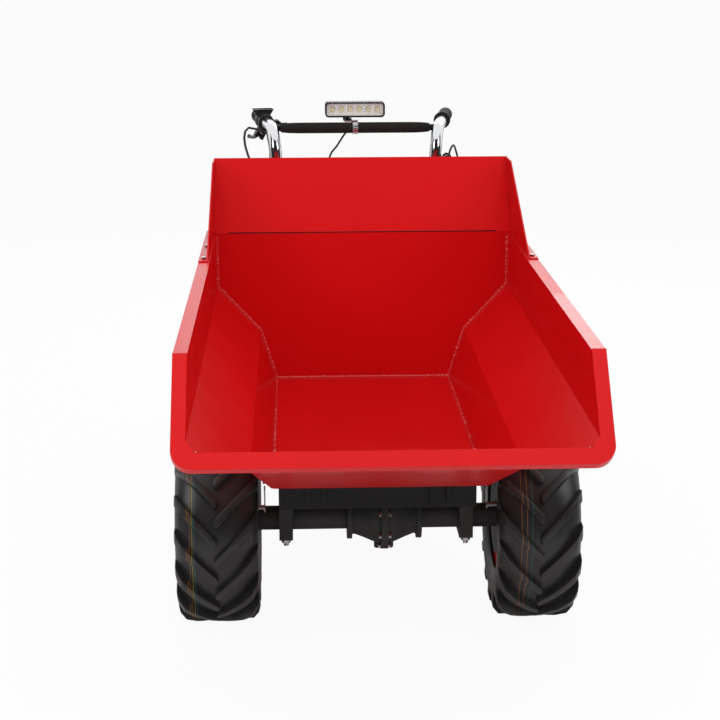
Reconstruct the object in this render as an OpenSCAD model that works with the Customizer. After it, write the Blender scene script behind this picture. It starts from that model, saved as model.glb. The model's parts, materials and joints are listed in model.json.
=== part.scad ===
// Powered concrete buggy: a sheet steel hopper that tips forward on two driven wheels,
// carried by a box frame with two swivel castors, and steered from a handlebar.
// Millimetres. The front is -Y, the operator walks at +Y, and left and right are the operator's own,
// so left is +X. Heights are above the ground. Distances along Y are behind the front axle.

/* [Hopper] */
// Height of the hopper floor, inside
floor_z = 332; // [328:1:345]
// Half width of the floor, inside
floor_half = 200; // [185:1:203]
// Height of the first fold of a side
knee_z = 445; // [435:1:460]
// Half width at the first fold
knee_half = 235; // [220:1:240]
// Height of the second fold of a side
shoulder_z = 550; // [540:1:570]
// Half width of the hopper mouth, inside
top_half = 332; // [320:1:345]
// Height of the top flange
rim_z = 670; // [650:1:700]
// Inner face of the back plate, behind the axle
back_y = 612; // [590:1:620]
// Front end of the level floor, ahead of the axle
floor_reach = 198; // [180:1:220]
// Inner edge of the pouring lip, ahead of the axle
lip_reach = 637; // [600:1:660]
// Height of the inner edge of the pouring lip
lip_z = 535; // [520:1:545]
// Front end of the top flanges, ahead of the axle
mouth_reach = 523; // [490:1:540]
// Sheet thickness of the hopper
sheet = 3; // [2:0.5:4]
// Width of the flange round the mouth
flange_w = 24; // [18:1:30]
// Depth of the pouring lip below its inner edge
lip_w = 29; // [20:1:34]
// Turned edge behind the flanges
return_w = 14; // [8:1:18]
// Outer corner radius of the pouring lip
lip_r = 34; // [10:1:45]

/* [Splash board] */
// Top edge of the board, behind the axle
board_y = 699; // [680:1:720]
// Height of the top edge of the board
board_z = 833; // [800:1:860]
// Half width of the board, inside
board_half = 336; // [334:1:345]
// Front end of its side wings, behind the axle
wing_y = 275; // [200:1:350]
// Front end of the level top edge of a wing, behind the axle
wing_top_y = 620; // [560:1:640]

/* [Chassis] */
// Height of the top of the rails
rail_top = 307; // [300:1:308]
// Height of a rail section
rail_h = 50; // [40:1:52]
// Width of a rail section
rail_w = 40; // [30:1:42]
// Distance of a rail's middle from the centre line
rail_x = 171; // [160:1:174]
// Wall of the rail section
rail_wall = 3; // [2:0.5:4]
// Rear end of the rails, behind the axle
rail_end = 1005; // [990:1:1030]
// Rear face of the front crossmember, ahead of the axle
front_bar = 60; // [55:1:70]
// Width of a crossmember
bar_w = 50; // [40:1:55]

/* [Drive axle] */
// Tyre diameter over the lugs
tyre_d = 406; // [390:1:420]
// Tyre width
tyre_w = 160; // [140:1:160]
// Height of the tread lugs
lug_h = 13; // [6:1:16]
// Lugs on each side of a tyre
lug_count = 16; // [10:1:18]
// Width of a lug
lug_w = 14; // [10:1:18]
// Distance of a wheel's middle from the centre line
wheel_x = 310; // [308:1:325]
// Diameter of the rim's bead seat
rim_d = 207.6; // [204:0.2:208]
// Outer diameter of the axle tube
axle_d = 48; // [44:1:52]
// Diameter of a half shaft
shaft_d = 25; // [20:1:30]
// Radius of the differential casing
diff_r = 53; // [50:1:60]
// Middle of the differential casing, left of the centre line
diff_x = 17; // [0:1:25]
// Distance of an axle clamp's middle from the centre line
clamp_x = 178; // [172:1:180]
// Width of an axle clamp
clamp_w = 27; // [20:1:30]

/* [Castors] */
// Castor wheel diameter
castor_d = 200; // [180:1:204]
// Castor wheel width
castor_w = 50; // [40:1:55]
// Swivel axis of the castors, behind the axle
castor_y = 880; // [860:1:900]
// Trail of a castor wheel
trail = 55; // [45:1:60]

/* [Handlebar] */
// Diameter of the handlebar tube
bar_d = 30; // [28:1:32]
// Wall of the handlebar tube
bar_wall = 2.5; // [2:0.5:4]
// Foot of a post, behind the axle
post_y = 975; // [965:1:980]
// Bend of the handlebar, from the centre line
bend_x = 203; // [195:1:210]
// Bend of the handlebar, behind the axle
bend_y = 1030; // [1020:1:1045]
// Height of the bend
bend_z = 860; // [840:1:880]
// End of the handlebar, from the centre line
end_x = 248; // [235:1:260]
// End of the handlebar, behind the axle
end_y = 1305; // [1285:1:1330]
// Height of the handlebar's end
end_z = 868; // [860:1:890]
// Length of a hand grip
grip_len = 118; // [110:1:125]
// Outer diameter of a hand grip
grip_d = 36; // [34:1:38]

/* [Lamp] */
// Width of the lamp
lamp_w = 150; // [120:1:170]
// Height of the lamp
lamp_h = 38; // [34:1:42]
// Depth of the lamp
lamp_deep = 42; // [36:1:46]
// Height of the lamp's middle
lamp_z = 905; // [902:1:912]
// Lamp middle, behind the axle
lamp_y = 1085; // [1080:1:1092]

/* [Battery box] */
// Front of the box, behind the axle
box_y = 650; // [645:1:670]
// Length of the box
box_len = 310; // [290:1:318]
// Height of the box below its lid
box_h = 232; // [205:1:245]
// Wall of the box
box_wall = 3; // [2:0.5:4]

/* [Hidden] */
$fn = 64;

// Running clearance of a pin or shaft in its bore, on the radius
fit = 0.08;
// Gap between a moving piece and what it rests on
rest_gap = 0.3;
// Far enough to cut right through
through = 2000;

red = [0.80, 0.09, 0.10];
black = [0.09, 0.09, 0.11];
cast = [0.16, 0.16, 0.17];
chrome = [0.80, 0.81, 0.83];
zinc = [0.66, 0.67, 0.68];
rubber = [0.07, 0.07, 0.07];
foam_grey = [0.22, 0.21, 0.21];
plastic = [0.12, 0.12, 0.13];

// Unit vector, and the right hand normal of a step from p to q in a drawing
function unit(v) = v / norm(v);
function right_of(p, q) = let (d = unit(q - p)) [d[1], -d[0]];
function backwards(v) = [for (i = [len(v) - 1:-1:0]) v[i]];
// A bent sheet's line moved to its right by t, with mitred folds
function moved(v, t) = [for (i = [0:len(v) - 1])
    let (a = right_of(v[max(i - 1, 0)], v[max(i, 1)]),
         b = right_of(v[min(i, len(v) - 2)], v[min(i + 1, len(v) - 1)]))
    v[i] + t * (a + b) / (1 + a * b)];
// The closed outline of a bent sheet, t thick on the right of its line
function sheet_outline(v, t) = concat(v, backwards(moved(v, t)));

// Hopper lines: its side in the X-Z drawing, its floor and mouth in the Y-Z drawing
lip = [-lip_reach, lip_z];
mouth = [-mouth_reach, rim_z];
side_line = [[floor_half, floor_z], [knee_half, knee_z], [top_half, shoulder_z], [top_half, rim_z]];
floor_line = [lip, [-floor_reach, floor_z], [back_y, floor_z]];
mouth_tilt = atan2(mouth[1] - lip[1], mouth[0] - lip[0]);
mouth_len = norm(mouth - lip);
lip_half = knee_half + (top_half - knee_half) * (lip_z - knee_z) / (shoulder_z - knee_z);
flange_half = top_half + flange_w;
shell_bottom = floor_z - sheet;

// Front end of the machine, its rear end, and the origin midway between them
lip_end = lip_reach + lip_w * cos(mouth_tilt) + sheet * sin(mouth_tilt);
grip_cap = 5;
handle_dir = unit([end_x - bend_x, end_y - bend_y, end_z - bend_z]);
rear_end = end_y + (grip_cap + rest_gap) * handle_dir[1] + grip_d / 2 * sin(acos(handle_dir[1]));
origin_y = (rear_end - lip_end) / 2;

// Wheels
wheel_z = tyre_d / 2;
carcass_r = wheel_z - lug_h;
bead_r = rim_d / 2;
bead_half = 58;
bead_in = bead_half - 12;
rim_flange_r = bead_r + 10;
disc_x = wheel_x;
disc_t = 5;
drum_r = 79;
drum_wall = 7;
drum_floor = 10;
plate_x = wheel_x - 70;
plate_t = 6;
rail_bottom = rail_top - rail_h;
rail_inner = rail_x - rail_w / 2;
bearing_x = 205;
bearing_w = 15;
stud_circle = 50;
stud_d = 12;

// Axle clamp: a saddle from the rail down over the tube, and a strap across below it
clamp_reach = axle_d / 2 + 26;
clamp_bolt_y = axle_d / 2 + 13;
clamp_bolt_d = 10;
clamp_split = wheel_z - 18;
clamp_low = clamp_split - 13;

// Pinion on the motor shaft
pinion_r = 11.5;
pinion_y = 27;

// Brake camshaft and its arm
cam_y = -30;
cam_z = wheel_z + 32;
cam_d = 10;
arm_x = 218;
arm_t = 3;
arm_len = 37;

// Hopper hinge
hinge_y = -front_bar - bar_w;
hinge_z = (rail_top + shell_bottom) / 2;
pin_d = 12;
barrel_r = 10;
hinge_x = 120;
barrel_w = 22;
lug_plate = 8;

// Underframe of the hopper and the pads that it rests on
rib_w = 30;
pad_h = 6;
rib_bottom = rail_top + pad_h;
mid_bar_y = 330;
rear_bar_y = 590;

// Latch on the left rail
latch_y = 520;
latch_z = rail_bottom + 28;
striker = [50, hinge_z - latch_z];
striker_d = 10;
latch_x = rail_x + rail_w / 2 + 26;
latch_t = 6;
jaw_r = norm(striker) + striker_d / 2 + 4;
jaw_t = 12;
latch_swing = 38;

// Castors
castor_z = castor_d / 2;
castor_top = rail_bottom;
plate_h = 8;
race_h = 20;
crown_z = castor_top - plate_h - race_h;
crown_t = 8;
king_d = 20;
leg_t = 6;
fork_gap = castor_w + 6;

// Handlebar
post_x = rail_x;
bar_bend_r = 60;
post_dir = unit([bend_x - post_x, bend_y - post_y, bend_z - rail_top]);
foot_t = 6;
crossbar_y = 1061;
crossbar_d = 16;
foam_d = 27;
foam_end = crossbar_d / 2 + 1.5;
foam_taper = 50;
grip_gap = 0.1;
throttle_len = 90;
throttle_box_len = 32;

// Battery box and its lid
box_half = rail_inner - 1;
box_top = rail_top + box_h;
lid_h = 20;
lid_pin_y = box_y + box_len + 8;
lid_pin_z = box_top + 4;

// Cables, laid through points chosen by hand
brake_d = 6;
lead_d = 6;

// Brings a piece drawn from the axle to the origin
module from_axle() {
    translate([0, -origin_y, 0]) children();
}

// Extrudes an X-Z drawing from y0 to y1
module along_y(y0, y1) {
    translate([0, y1, 0]) rotate([90, 0, 0]) linear_extrude(y1 - y0) children();
}

// Extrudes a Y-Z drawing from x0 to x1
module along_x(x0, x1) {
    translate([x0, 0, 0]) rotate([90, 0, 90]) linear_extrude(x1 - x0) children();
}

// Mirrors to the right hand side for side -1
module on_side(side) {
    mirror([side < 0 ? 1 : 0, 0, 0]) children();
}

// Box from corner a to corner b
module block(a, b) {
    translate(a) cube(b - a);
}

// Round bar along X from x0 to x1
module bar_x(x0, x1, y, z, d) {
    translate([x0, y, z]) rotate([0, 90, 0]) cylinder(h = x1 - x0, d = d);
}

// Ring along X from x0 to x1
module ring_x(x0, x1, y, z, d, bore) {
    difference() {
        bar_x(x0, x1, y, z, d);
        bar_x(x0 - 1, x1 + 1, y, z, bore);
    }
}

// Turns an outline of (radius, X) points about the wheel axis
module turned_x(x, y, z) {
    translate([x, y, z]) rotate([0, 90, 0]) rotate_extrude($fn = 96) children();
}

// Hexagon bolt pointing down from z = 0, through a stack grip thick, with its nut
module hex_bolt(d, grip, tail = 4) {
    cylinder(h = d * 0.65, d = d * 1.85, $fn = 6);
    translate([0, 0, -grip - d - tail]) cylinder(h = grip + d + tail, d = d);
    translate([0, 0, -grip - d * 0.8]) difference() {
        cylinder(h = d * 0.8, d = d * 1.85, $fn = 6);
        translate([0, 0, -1]) cylinder(h = d * 0.8 + 2, d = d - 0.01);
    }
}

// Frame with its origin at p, its Z along w, its X level and pointing outwards
function level_frame(p, w) = let (u = unit([w[1], -w[0], 0]), v = cross(w, u)) [
    [u[0], v[0], w[0], p[0]],
    [u[1], v[1], w[1], p[1]],
    [u[2], v[2], w[2], p[2]],
    [0, 0, 0, 1]];

// Places a piece on a handlebar: Z runs back along the tube to its end at 0, Y points down
module on_handle(side) {
    on_side(side) multmatrix(level_frame([end_x, end_y, end_z], handle_dir)) children();
}

// Where a point p given beside the right hand tube lies, and the way that a step d there goes
function handle_step(d) = let (u = unit([handle_dir[1], -handle_dir[0], 0]), v = cross(handle_dir, u),
    q = u * d[0] + v * d[1] + handle_dir * d[2]) [-q[0], q[1], q[2]];
function handle_point(p) = [-end_x, end_y, end_z] + handle_step(p);
function lever_turn(p) = [p[0] * cos(lever_out) - p[1] * sin(lever_out),
    p[0] * sin(lever_out) + p[1] * cos(lever_out), p[2]];

// The middle of the post on a side at height z, and a point beside it
function post_point(side, z, off) = let (t = (z - rail_top - foot_t) / post_dir[2])
    [side * (post_x + t * post_dir[0] + off[0]), post_y + t * post_dir[1] + off[1], z];

// Handlebar centre line: post, bend and grip tube, all of outer diameter d
module handle_path(d, bore) {
    turn = acos(post_dir * handle_dir);
    setback = bar_bend_r * tan(turn / 2);
    corner = [bend_x, bend_y, bend_z];
    side = unit(handle_dir - (handle_dir * post_dir) * post_dir);
    out = cross(side, post_dir);
    foot = [post_x, post_y, rail_top + foot_t];
    hub = corner - post_dir * setback + side * bar_bend_r;
    module tube(length) {
        difference() {
            cylinder(h = length, d = d);
            if (bore > 0) translate([0, 0, -1]) cylinder(h = length + 2, d = bore);
        }
    }
    multmatrix(level_frame(foot, post_dir)) tube(norm(corner - foot) - setback);
    multmatrix(level_frame(corner + handle_dir * setback, handle_dir))
        tube(norm([end_x, end_y, end_z] - corner) - setback);
    multmatrix([
        [-side[0], post_dir[0], out[0], hub[0]],
        [-side[1], post_dir[1], out[1], hub[1]],
        [-side[2], post_dir[2], out[2], hub[2]],
        [0, 0, 0, 1]])
        rotate_extrude(angle = turn) translate([bar_bend_r, 0]) difference() {
            circle(d = d);
            if (bore > 0) circle(d = bore);
        }
}

// Cord through the points p: a closed tube of round section
function along(p, i) = unit(p[min(i + 1, len(p) - 1)] - p[max(i - 1, 0)]);
function spline(a, b, c, d, t) = 0.5 * (2 * b + (c - a) * t + (2 * a - 5 * b + 4 * c - d) * t * t
    + (3 * b - a - 3 * c + d) * t * t * t);
function eased(p, steps) = [for (i = [0:len(p) - 2]) for (j = [0:steps - 1])
    spline(p[max(i - 1, 0)], p[i], p[i + 1], p[min(i + 2, len(p) - 1)], j / steps)];
function curve(p, steps) = concat(eased(p, steps), [p[len(p) - 1]]);
module cord(points, d, steps = 3, sides = 8) {
    p = curve(points, steps);
    n = len(p);
    rings = [for (i = [0:n - 1])
        let (t = i == 0 ? unit(points[1] - points[0])
                : i == n - 1 ? unit(points[len(points) - 1] - points[len(points) - 2]) : along(p, i),
            u = unit(cross(t, [1, 0.13, 0.07])), v = cross(t, u))
        for (k = [0:sides - 1]) p[i] + d / 2 * (u * cos(360 * k / sides) + v * sin(360 * k / sides))];
    walls = [for (i = [0:n - 2]) for (k = [0:sides - 1]) for (half = [0, 1])
        let (a = i * sides + k, b = i * sides + (k + 1) % sides)
        half == 0 ? [a, a + sides, b + sides] : [a, b + sides, b]];
    first = [for (k = [1:sides - 2]) [0, k, k + 1]];
    last = [for (k = [1:sides - 2]) [(n - 1) * sides, (n - 1) * sides + k + 1, (n - 1) * sides + k]];
    polyhedron(points = rings, faces = concat(walls, first, last));
}

// Hopper

// The inside of the hopper across, carried down by extra
module hopper_section(extra) {
    polygon(concat(
        [[-floor_half, floor_z - extra], [floor_half, floor_z - extra]],
        side_line,
        [for (p = backwards(side_line)) [-p[0], p[1]]]));
}

module hopper_floor() {
    color(red) from_axle() intersection() {
        along_x(-top_half, top_half) polygon(sheet_outline(floor_line, sheet));
        along_y(-through, back_y) hopper_section(2 * sheet);
    }
}

module hopper_side(side) {
    color(red) from_axle() on_side(side) {
        intersection() {
            along_y(-through, back_y) polygon(sheet_outline(side_line, sheet));
            along_x(0, through)
                polygon(concat(moved(floor_line, sheet), [[back_y, rim_z], mouth, lip]));
        }
        difference() {
            union() {
                block([top_half, -mouth_reach, rim_z - sheet], [flange_half, back_y, rim_z]);
                block([flange_half - sheet, -mouth_reach, rim_z - return_w], [flange_half, back_y, rim_z]);
            }
            flange_holes();
        }
    }
}

// Bolt holes through the top flange and the foot of the board, on the left
board_bolt_d = 6;
back_flange = flange_w + 12;
board_bolt_x = flange_half - 10;
board_bolt_y = [wing_y + 25, (wing_y + back_y) / 2, back_y - 40];
back_bolt_x = [0, top_half / 2];
back_bolt_y = back_y + back_flange - 12;
module flange_holes() {
    for (y = board_bolt_y)
        translate([board_bolt_x, y, rim_z - 20]) cylinder(h = 40, d = board_bolt_d + 0.5);
}

module back_holes() {
    for (x = back_bolt_x, s = [-1, 1])
        translate([s * x, back_bolt_y, rim_z - 20]) cylinder(h = 40, d = board_bolt_d + 0.5);
}

module hopper_back() {
    outer = moved(side_line, sheet);
    color(red) from_axle() {
        along_y(back_y, back_y + sheet) polygon(concat(
            [[-floor_half, shell_bottom], [floor_half, shell_bottom]],
            outer,
            [for (p = backwards(outer)) [-p[0], p[1]]]));
        difference() {
            union() {
                block([-flange_half, back_y, rim_z - sheet], [flange_half, back_y + back_flange, rim_z]);
                block([-flange_half, back_y + back_flange - sheet, rim_z - return_w],
                    [flange_half, back_y + back_flange, rim_z]);
            }
            back_holes();
        }
    }
}

// Outline of the mouth flange from its lower edge up, w wide each side, with round lower corners r
module lip_outline(w, low, high, r) {
    translate([-w, low + r]) square([2 * w, high - low - r]);
    translate([-w + r, low]) square([2 * (w - r), r + 1]);
    for (s = [-1, 1]) translate([s * (w - r), low + r]) circle(r = r);
}

module hopper_rim() {
    rise = sin(mouth_tilt);
    shoulder_v = (shoulder_z - lip_z) / rise;
    return_top = mouth_len - return_w / rise - 12;
    color(red) from_axle() translate([0, lip[0], lip[1]]) rotate([mouth_tilt, 0, 0]) {
        linear_extrude(sheet) difference() {
            lip_outline(flange_half, -lip_w, mouth_len, lip_r);
            polygon([[-lip_half, 0], [lip_half, 0], [top_half, shoulder_v], [top_half, mouth_len + 1],
                [-top_half, mouth_len + 1], [-top_half, shoulder_v]]);
        }
        translate([0, 0, -return_w]) linear_extrude(return_w) difference() {
            lip_outline(flange_half, -lip_w, return_top, lip_r);
            lip_outline(flange_half - sheet, -lip_w + sheet, return_top + 1, lip_r - sheet);
        }
    }
}

module rear_board() {
    foot_z = rim_z + sheet;
    fold = [back_y + 8, foot_z];
    face = [fold, [board_y, board_z]];
    color(red) from_axle() {
        along_x(-board_half, board_half) polygon(sheet_outline(face, sheet));
        for (s = [-1, 1]) on_side(s) {
            along_x(board_half, board_half + sheet)
                polygon([[wing_y, foot_z], fold + [sheet, 0], [board_y + sheet, board_z],
                    [wing_top_y, board_z]]);
            difference() {
                block([board_half, wing_y, rim_z], [flange_half, back_y, foot_z]);
                flange_holes();
            }
        }
        difference() {
            block([-flange_half, back_y, rim_z], [flange_half, back_y + back_flange, foot_z]);
            back_holes();
        }
    }
}

module board_bolts() {
    color(zinc) from_axle() {
        for (s = [-1, 1], y = board_bolt_y)
            translate([s * board_bolt_x, y, rim_z + sheet]) hex_bolt(board_bolt_d, 2 * sheet, 1);
        for (x = [-back_bolt_x[1], 0, back_bolt_x[1]])
            translate([x, back_bolt_y, rim_z + sheet]) hex_bolt(board_bolt_d, 2 * sheet, 1);
    }
}

module hopper_underframe() {
    color(red) from_axle() {
        for (s = [-1, 1]) on_side(s) {
            difference() {
                block([hinge_x - rib_w / 2, hinge_y + 16, rib_bottom],
                    [hinge_x + rib_w / 2, back_y, shell_bottom]);
                block([hinge_x - rib_w / 2 + 4, hinge_y, rib_bottom + 4],
                    [hinge_x + rib_w / 2 - 4, through, shell_bottom + 1]);
            }
            difference() {
                union() {
                    bar_x(hinge_x - barrel_w / 2, hinge_x + barrel_w / 2, hinge_y, hinge_z, 2 * barrel_r);
                    block([hinge_x - barrel_w / 2, hinge_y - 7, hinge_z],
                        [hinge_x + barrel_w / 2, hinge_y + 16, shell_bottom]);
                }
                bar_x(hinge_x - barrel_w, hinge_x + barrel_w, hinge_y, hinge_z, pin_d + 2 * fit);
            }
        }
        block([rail_x, latch_y + striker[0] - 12, rib_bottom - 4],
            [rail_x + 6, latch_y + striker[0] + 12, shell_bottom]);
        bar_x(rail_x, latch_x + latch_t + 4, latch_y + striker[0], hinge_z, striker_d);
    }
}

// Chassis

module rails() {
    color(black) from_axle() for (s = [-1, 1]) on_side(s) difference() {
        block([rail_inner, -front_bar, rail_bottom], [rail_inner + rail_w, rail_end, rail_top]);
        block([rail_inner + rail_wall, -front_bar - 1, rail_bottom + rail_wall],
            [rail_inner + rail_w - rail_wall, rail_end + 1, rail_top - rail_wall]);
        clamp_holes();
    }
}

// Holes for the bolts of an axle clamp, on the left
module clamp_holes() {
    for (e = [-1, 1]) translate([clamp_x, e * clamp_bolt_y, rail_bottom - 100])
        cylinder(h = 110, d = clamp_bolt_d + 0.5);
}

module crossmembers() {
    outer = rail_inner + rail_w;
    color(black) from_axle() {
        difference() {
            block([-outer, hinge_y, rail_bottom], [outer, -front_bar, rail_top]);
            block([-outer - 1, hinge_y + rail_wall, rail_bottom + rail_wall],
                [outer + 1, -front_bar - rail_wall, rail_top - rail_wall]);
        }
        for (y = [mid_bar_y, rear_bar_y, rail_end - 25])
            difference() {
                block([-rail_inner, y - 20, rail_bottom], [rail_inner, y + 20, rail_top]);
                block([-through, y - 20 + rail_wall, rail_bottom + rail_wall],
                    [through, y + 20 - rail_wall, rail_top - rail_wall]);
            }
    }
}

module hinge_brackets() {
    color(black) from_axle() for (s = [-1, 1]) on_side(s) {
        for (x = [hinge_x - barrel_w / 2 - lug_plate - 1, hinge_x + barrel_w / 2 + 1]) difference() {
            union() {
                bar_x(x, x + lug_plate, hinge_y, hinge_z, 2 * barrel_r);
                block([x, hinge_y - barrel_r, rail_bottom + 12], [x + lug_plate, hinge_y, hinge_z]);
                block([x, hinge_y - barrel_r, rail_top], [x + lug_plate, hinge_y + 14, hinge_z]);
            }
            bar_x(x - 1, x + lug_plate + 1, hinge_y, hinge_z, pin_d + 2 * fit);
        }
        bar_x(hinge_x - barrel_w / 2 - lug_plate - 6, hinge_x + barrel_w / 2 + lug_plate + 6,
            hinge_y, hinge_z, pin_d);
        bar_x(hinge_x + barrel_w / 2 + lug_plate + 2, hinge_x + barrel_w / 2 + lug_plate + 7,
            hinge_y, hinge_z, 18);
    }
    color(black) from_axle() {
        bar_x(rail_x + rail_w / 2, latch_x - rest_gap, latch_y, latch_z, 24);
        bar_x(rail_x + rail_w / 2, latch_x + latch_t + 4, latch_y, latch_z, pin_d);
        bar_x(latch_x + latch_t + rest_gap, latch_x + latch_t + 4, latch_y, latch_z, 20);
    }
}

module hopper_pads() {
    color(rubber) from_axle() for (s = [-1, 1], y = [mid_bar_y, rear_bar_y])
        on_side(s) block([hinge_x - 20, y - 15, rail_top], [hinge_x + 20, y + 15, rib_bottom]);
}

module latch_hook() {
    arm = [50, 64];
    color(zinc) from_axle() translate([0, latch_y, latch_z]) rotate([latch_swing, 0, 0]) {
        along_x(latch_x, latch_x + latch_t) difference() {
            union() {
                difference() {
                    circle(r = jaw_r + jaw_t);
                    circle(r = jaw_r);
                    polygon([[0, 0], 200 * [cos(22), sin(22)], [200, -200], [-200, -200], [-200, 200],
                        200 * [cos(arm[1]), sin(arm[1])]]);
                }
                polygon([[0, 0], (jaw_r + 4) * [cos(arm[0]), sin(arm[0])],
                    (jaw_r + 4) * [cos(arm[1]), sin(arm[1])]]);
                circle(d = 28);
                rotate(165) translate([0, -9]) square([95, 18]);
                rotate(165) translate([95, 0]) circle(d = 18);
            }
            circle(d = pin_d + 2 * fit);
        }
        rotate([165, 0, 0]) bar_x(latch_x + 1, latch_x + latch_t + 46, 92, 0, 14);
    }
}

// Drive axle

module axle_tubes() {
    color(cast) from_axle() for (s = [-1, 1]) on_side(s) {
        start = 73 + 1 + (s > 0 ? diff_x : -diff_x);
        ring_x(start, plate_x, 0, wheel_z, axle_d, axle_d - 8);
        ring_x(bearing_x, bearing_x + bearing_w, 0, wheel_z, axle_d - 8, shaft_d + 2 * fit);
    }
}

// Outline of a casing half: a dome that tapers to the axle tube, as (radius, distance) points
diff_circle = diff_r + 6;
diff_line = [[diff_r, 0], [diff_r, 12], [diff_r - 4, 24], [diff_r - 12, 42], [35, 58], [35, 73]];
module diff_casing(side) {
    color(cast) from_axle() difference() {
        union() {
            turned_x(diff_x, 0, wheel_z)
                polygon([for (p = sheet_outline(diff_line, -6)) [p[0], side * p[1]]]);
            turned_x(diff_x, 0, wheel_z)
                polygon([[diff_r - 6, 0], [diff_r + 12, 0], [diff_r + 12, side * 7], [diff_r - 6, side * 7]]);
            turned_x(diff_x, 0, wheel_z)
                polygon([[axle_d / 2 + 0.1, side * 64], [44, side * 64], [44, side * 74],
                    [axle_d / 2 + 0.1, side * 74]]);
            translate([diff_x + side * 11, 0, wheel_z - diff_r - 12]) cylinder(h = 22, d = 17, $fn = 6);
        }
        for (a = [0:45:315]) rotate_about_axle(a + 22.5)
            bar_x(diff_x - 20, diff_x + 20, diff_circle, wheel_z, 6.4);
        translate([diff_x, 0, wheel_z]) rotate([-90, 0, 0]) cylinder(h = 90, d = 56);
        bar_x(diff_x - 60, diff_x + 60, 0, wheel_z, 2 * (35 - 6));
    }
}

module rotate_about_axle(a) {
    translate([0, 0, wheel_z]) rotate([a, 0, 0]) translate([0, 0, -wheel_z]) children();
}

module axle_bolts() {
    color(zinc) from_axle() {
        for (a = [0:45:315]) rotate_about_axle(a + 22.5) {
            bar_x(diff_x - 10, diff_x + 10, diff_circle, wheel_z, 6);
            for (s = [-1, 1]) translate([diff_x + s * 9.5, diff_circle, wheel_z]) rotate([0, 90, 0])
                cylinder(h = 5, d = 10.4, center = true, $fn = 6);
        }
        for (s = [-1, 1], e = [-1, 1])
            translate([s * clamp_x, e * clamp_bolt_y, rail_bottom + rail_wall])
                hex_bolt(clamp_bolt_d, rail_bottom + rail_wall - clamp_low, 4);
    }
}

module axle_clamps() {
    half = clamp_w / 2;
    color(cast) from_axle() for (s = [-1, 1]) on_side(s) difference() {
        union() {
            difference() {
                block([clamp_x - half, -clamp_reach, clamp_split + 0.2],
                    [clamp_x + half, clamp_reach, rail_bottom]);
                block([clamp_x - half - 1, -axle_d / 2, 0], [clamp_x + half + 1, axle_d / 2, wheel_z]);
            }
            block([clamp_x - half, -clamp_reach, clamp_low], [clamp_x + half, clamp_reach, clamp_split]);
        }
        bar_x(0, through, 0, wheel_z, axle_d + 0.02);
        clamp_holes();
    }
}

module drive_motor() {
    color(cast) from_axle() difference() {
        union() {
            translate([diff_x, 45, wheel_z]) rotate([-90, 0, 0]) cylinder(h = 43, d = 84);
            translate([diff_x, 80, wheel_z]) rotate([-90, 0, 0]) cylinder(h = 10, d = 112);
            translate([diff_x, 90, wheel_z]) rotate([-90, 0, 0]) cylinder(h = 140, d = 104);
            for (a = [0:30:330]) translate([diff_x, 100, wheel_z]) rotate([0, a, 0])
                block([-1.5, 0, 50], [1.5, 120, 56]);
            translate([diff_x, 230, wheel_z]) rotate([-90, 0, 0]) cylinder(h = 12, d = 96);
            block([diff_x + 44, 150, wheel_z - 22], [diff_x + 72, 210, wheel_z + 22]);
        }
        bar_x(diff_x - 14, diff_x + 14, 0, wheel_z, 2 * (diff_r + 13));
        bar_x(diff_x - 80, diff_x + 80, 0, wheel_z, 2 * (diff_r + 0.2));
        translate([diff_x, 0, wheel_z]) rotate([-90, 0, 0]) cylinder(h = 80, d = 56);
        translate([diff_x, 0, wheel_z]) rotate([-90, 0, 0]) cylinder(h = 100, d = 16 + 2 * fit);
    }
}

module motor_pinion() {
    color(zinc) from_axle() translate([diff_x, pinion_y, wheel_z]) rotate([-90, 0, 0]) {
        difference() {
            cylinder(h = 15, r = pinion_r);
            for (a = [0:36:324]) rotate(a) translate([pinion_r, 0, 7]) cube([4, 3, 20], center = true);
        }
        cylinder(h = 60, d = 16);
    }
}

// Differential cage with its crown wheel on the left half shaft's line
module final_drive_gear() {
    color(zinc) from_axle() {
        difference() {
            union() {
                bar_x(diff_x - 26, diff_x + 24, 0, wheel_z, 48);
                turned_x(diff_x, 0, wheel_z) polygon([[0, -26], [40, -26], [40, -pinion_r - 4],
                    [30, -pinion_r - 0.5], [0, -pinion_r - 0.5]]);
            }
            for (a = [0:12:348]) rotate_about_axle(a)
                translate([diff_x - pinion_r, 36, wheel_z]) cube([6, 14, 3], center = true);
            bar_x(diff_x - 60, diff_x + 60, 0, wheel_z, shaft_d + 0.6);
        }
    }
}

module half_shaft(side) {
    color(zinc) from_axle() on_side(side) {
        start = (side > 0 ? diff_x : -diff_x) + 4;
        bar_x(start, disc_x + 24, 0, wheel_z, shaft_d);
        bar_x(disc_x + 24, disc_x + 30, 0, wheel_z, 16);
    }
}

// Brakes and wheels

module brake_backplates() {
    shoe_r = drum_r - drum_wall - 1;
    color(cast) from_axle() for (s = [-1, 1]) on_side(s) {
        difference() {
            bar_x(plate_x, plate_x + plate_t, 0, wheel_z, 2 * drum_r - 2);
            bar_x(0, through, 0, wheel_z, shaft_d + 6);
            bar_x(0, through, cam_y, cam_z, cam_d + 2 * fit);
        }
        for (e = [-1, 1]) difference() {
            ring_x(plate_x + plate_t, plate_x + plate_t + 36, 0, wheel_z, 2 * shoe_r, 2 * shoe_r - 16);
            block([0, -200, wheel_z - 300 + (e > 0 ? 0 : 312)], [through, 200, wheel_z + (e > 0 ? 12 : 300)]);
            block([0, -64, wheel_z - 100], [through, -30, wheel_z + 100]);
        }
    }
}

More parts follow.
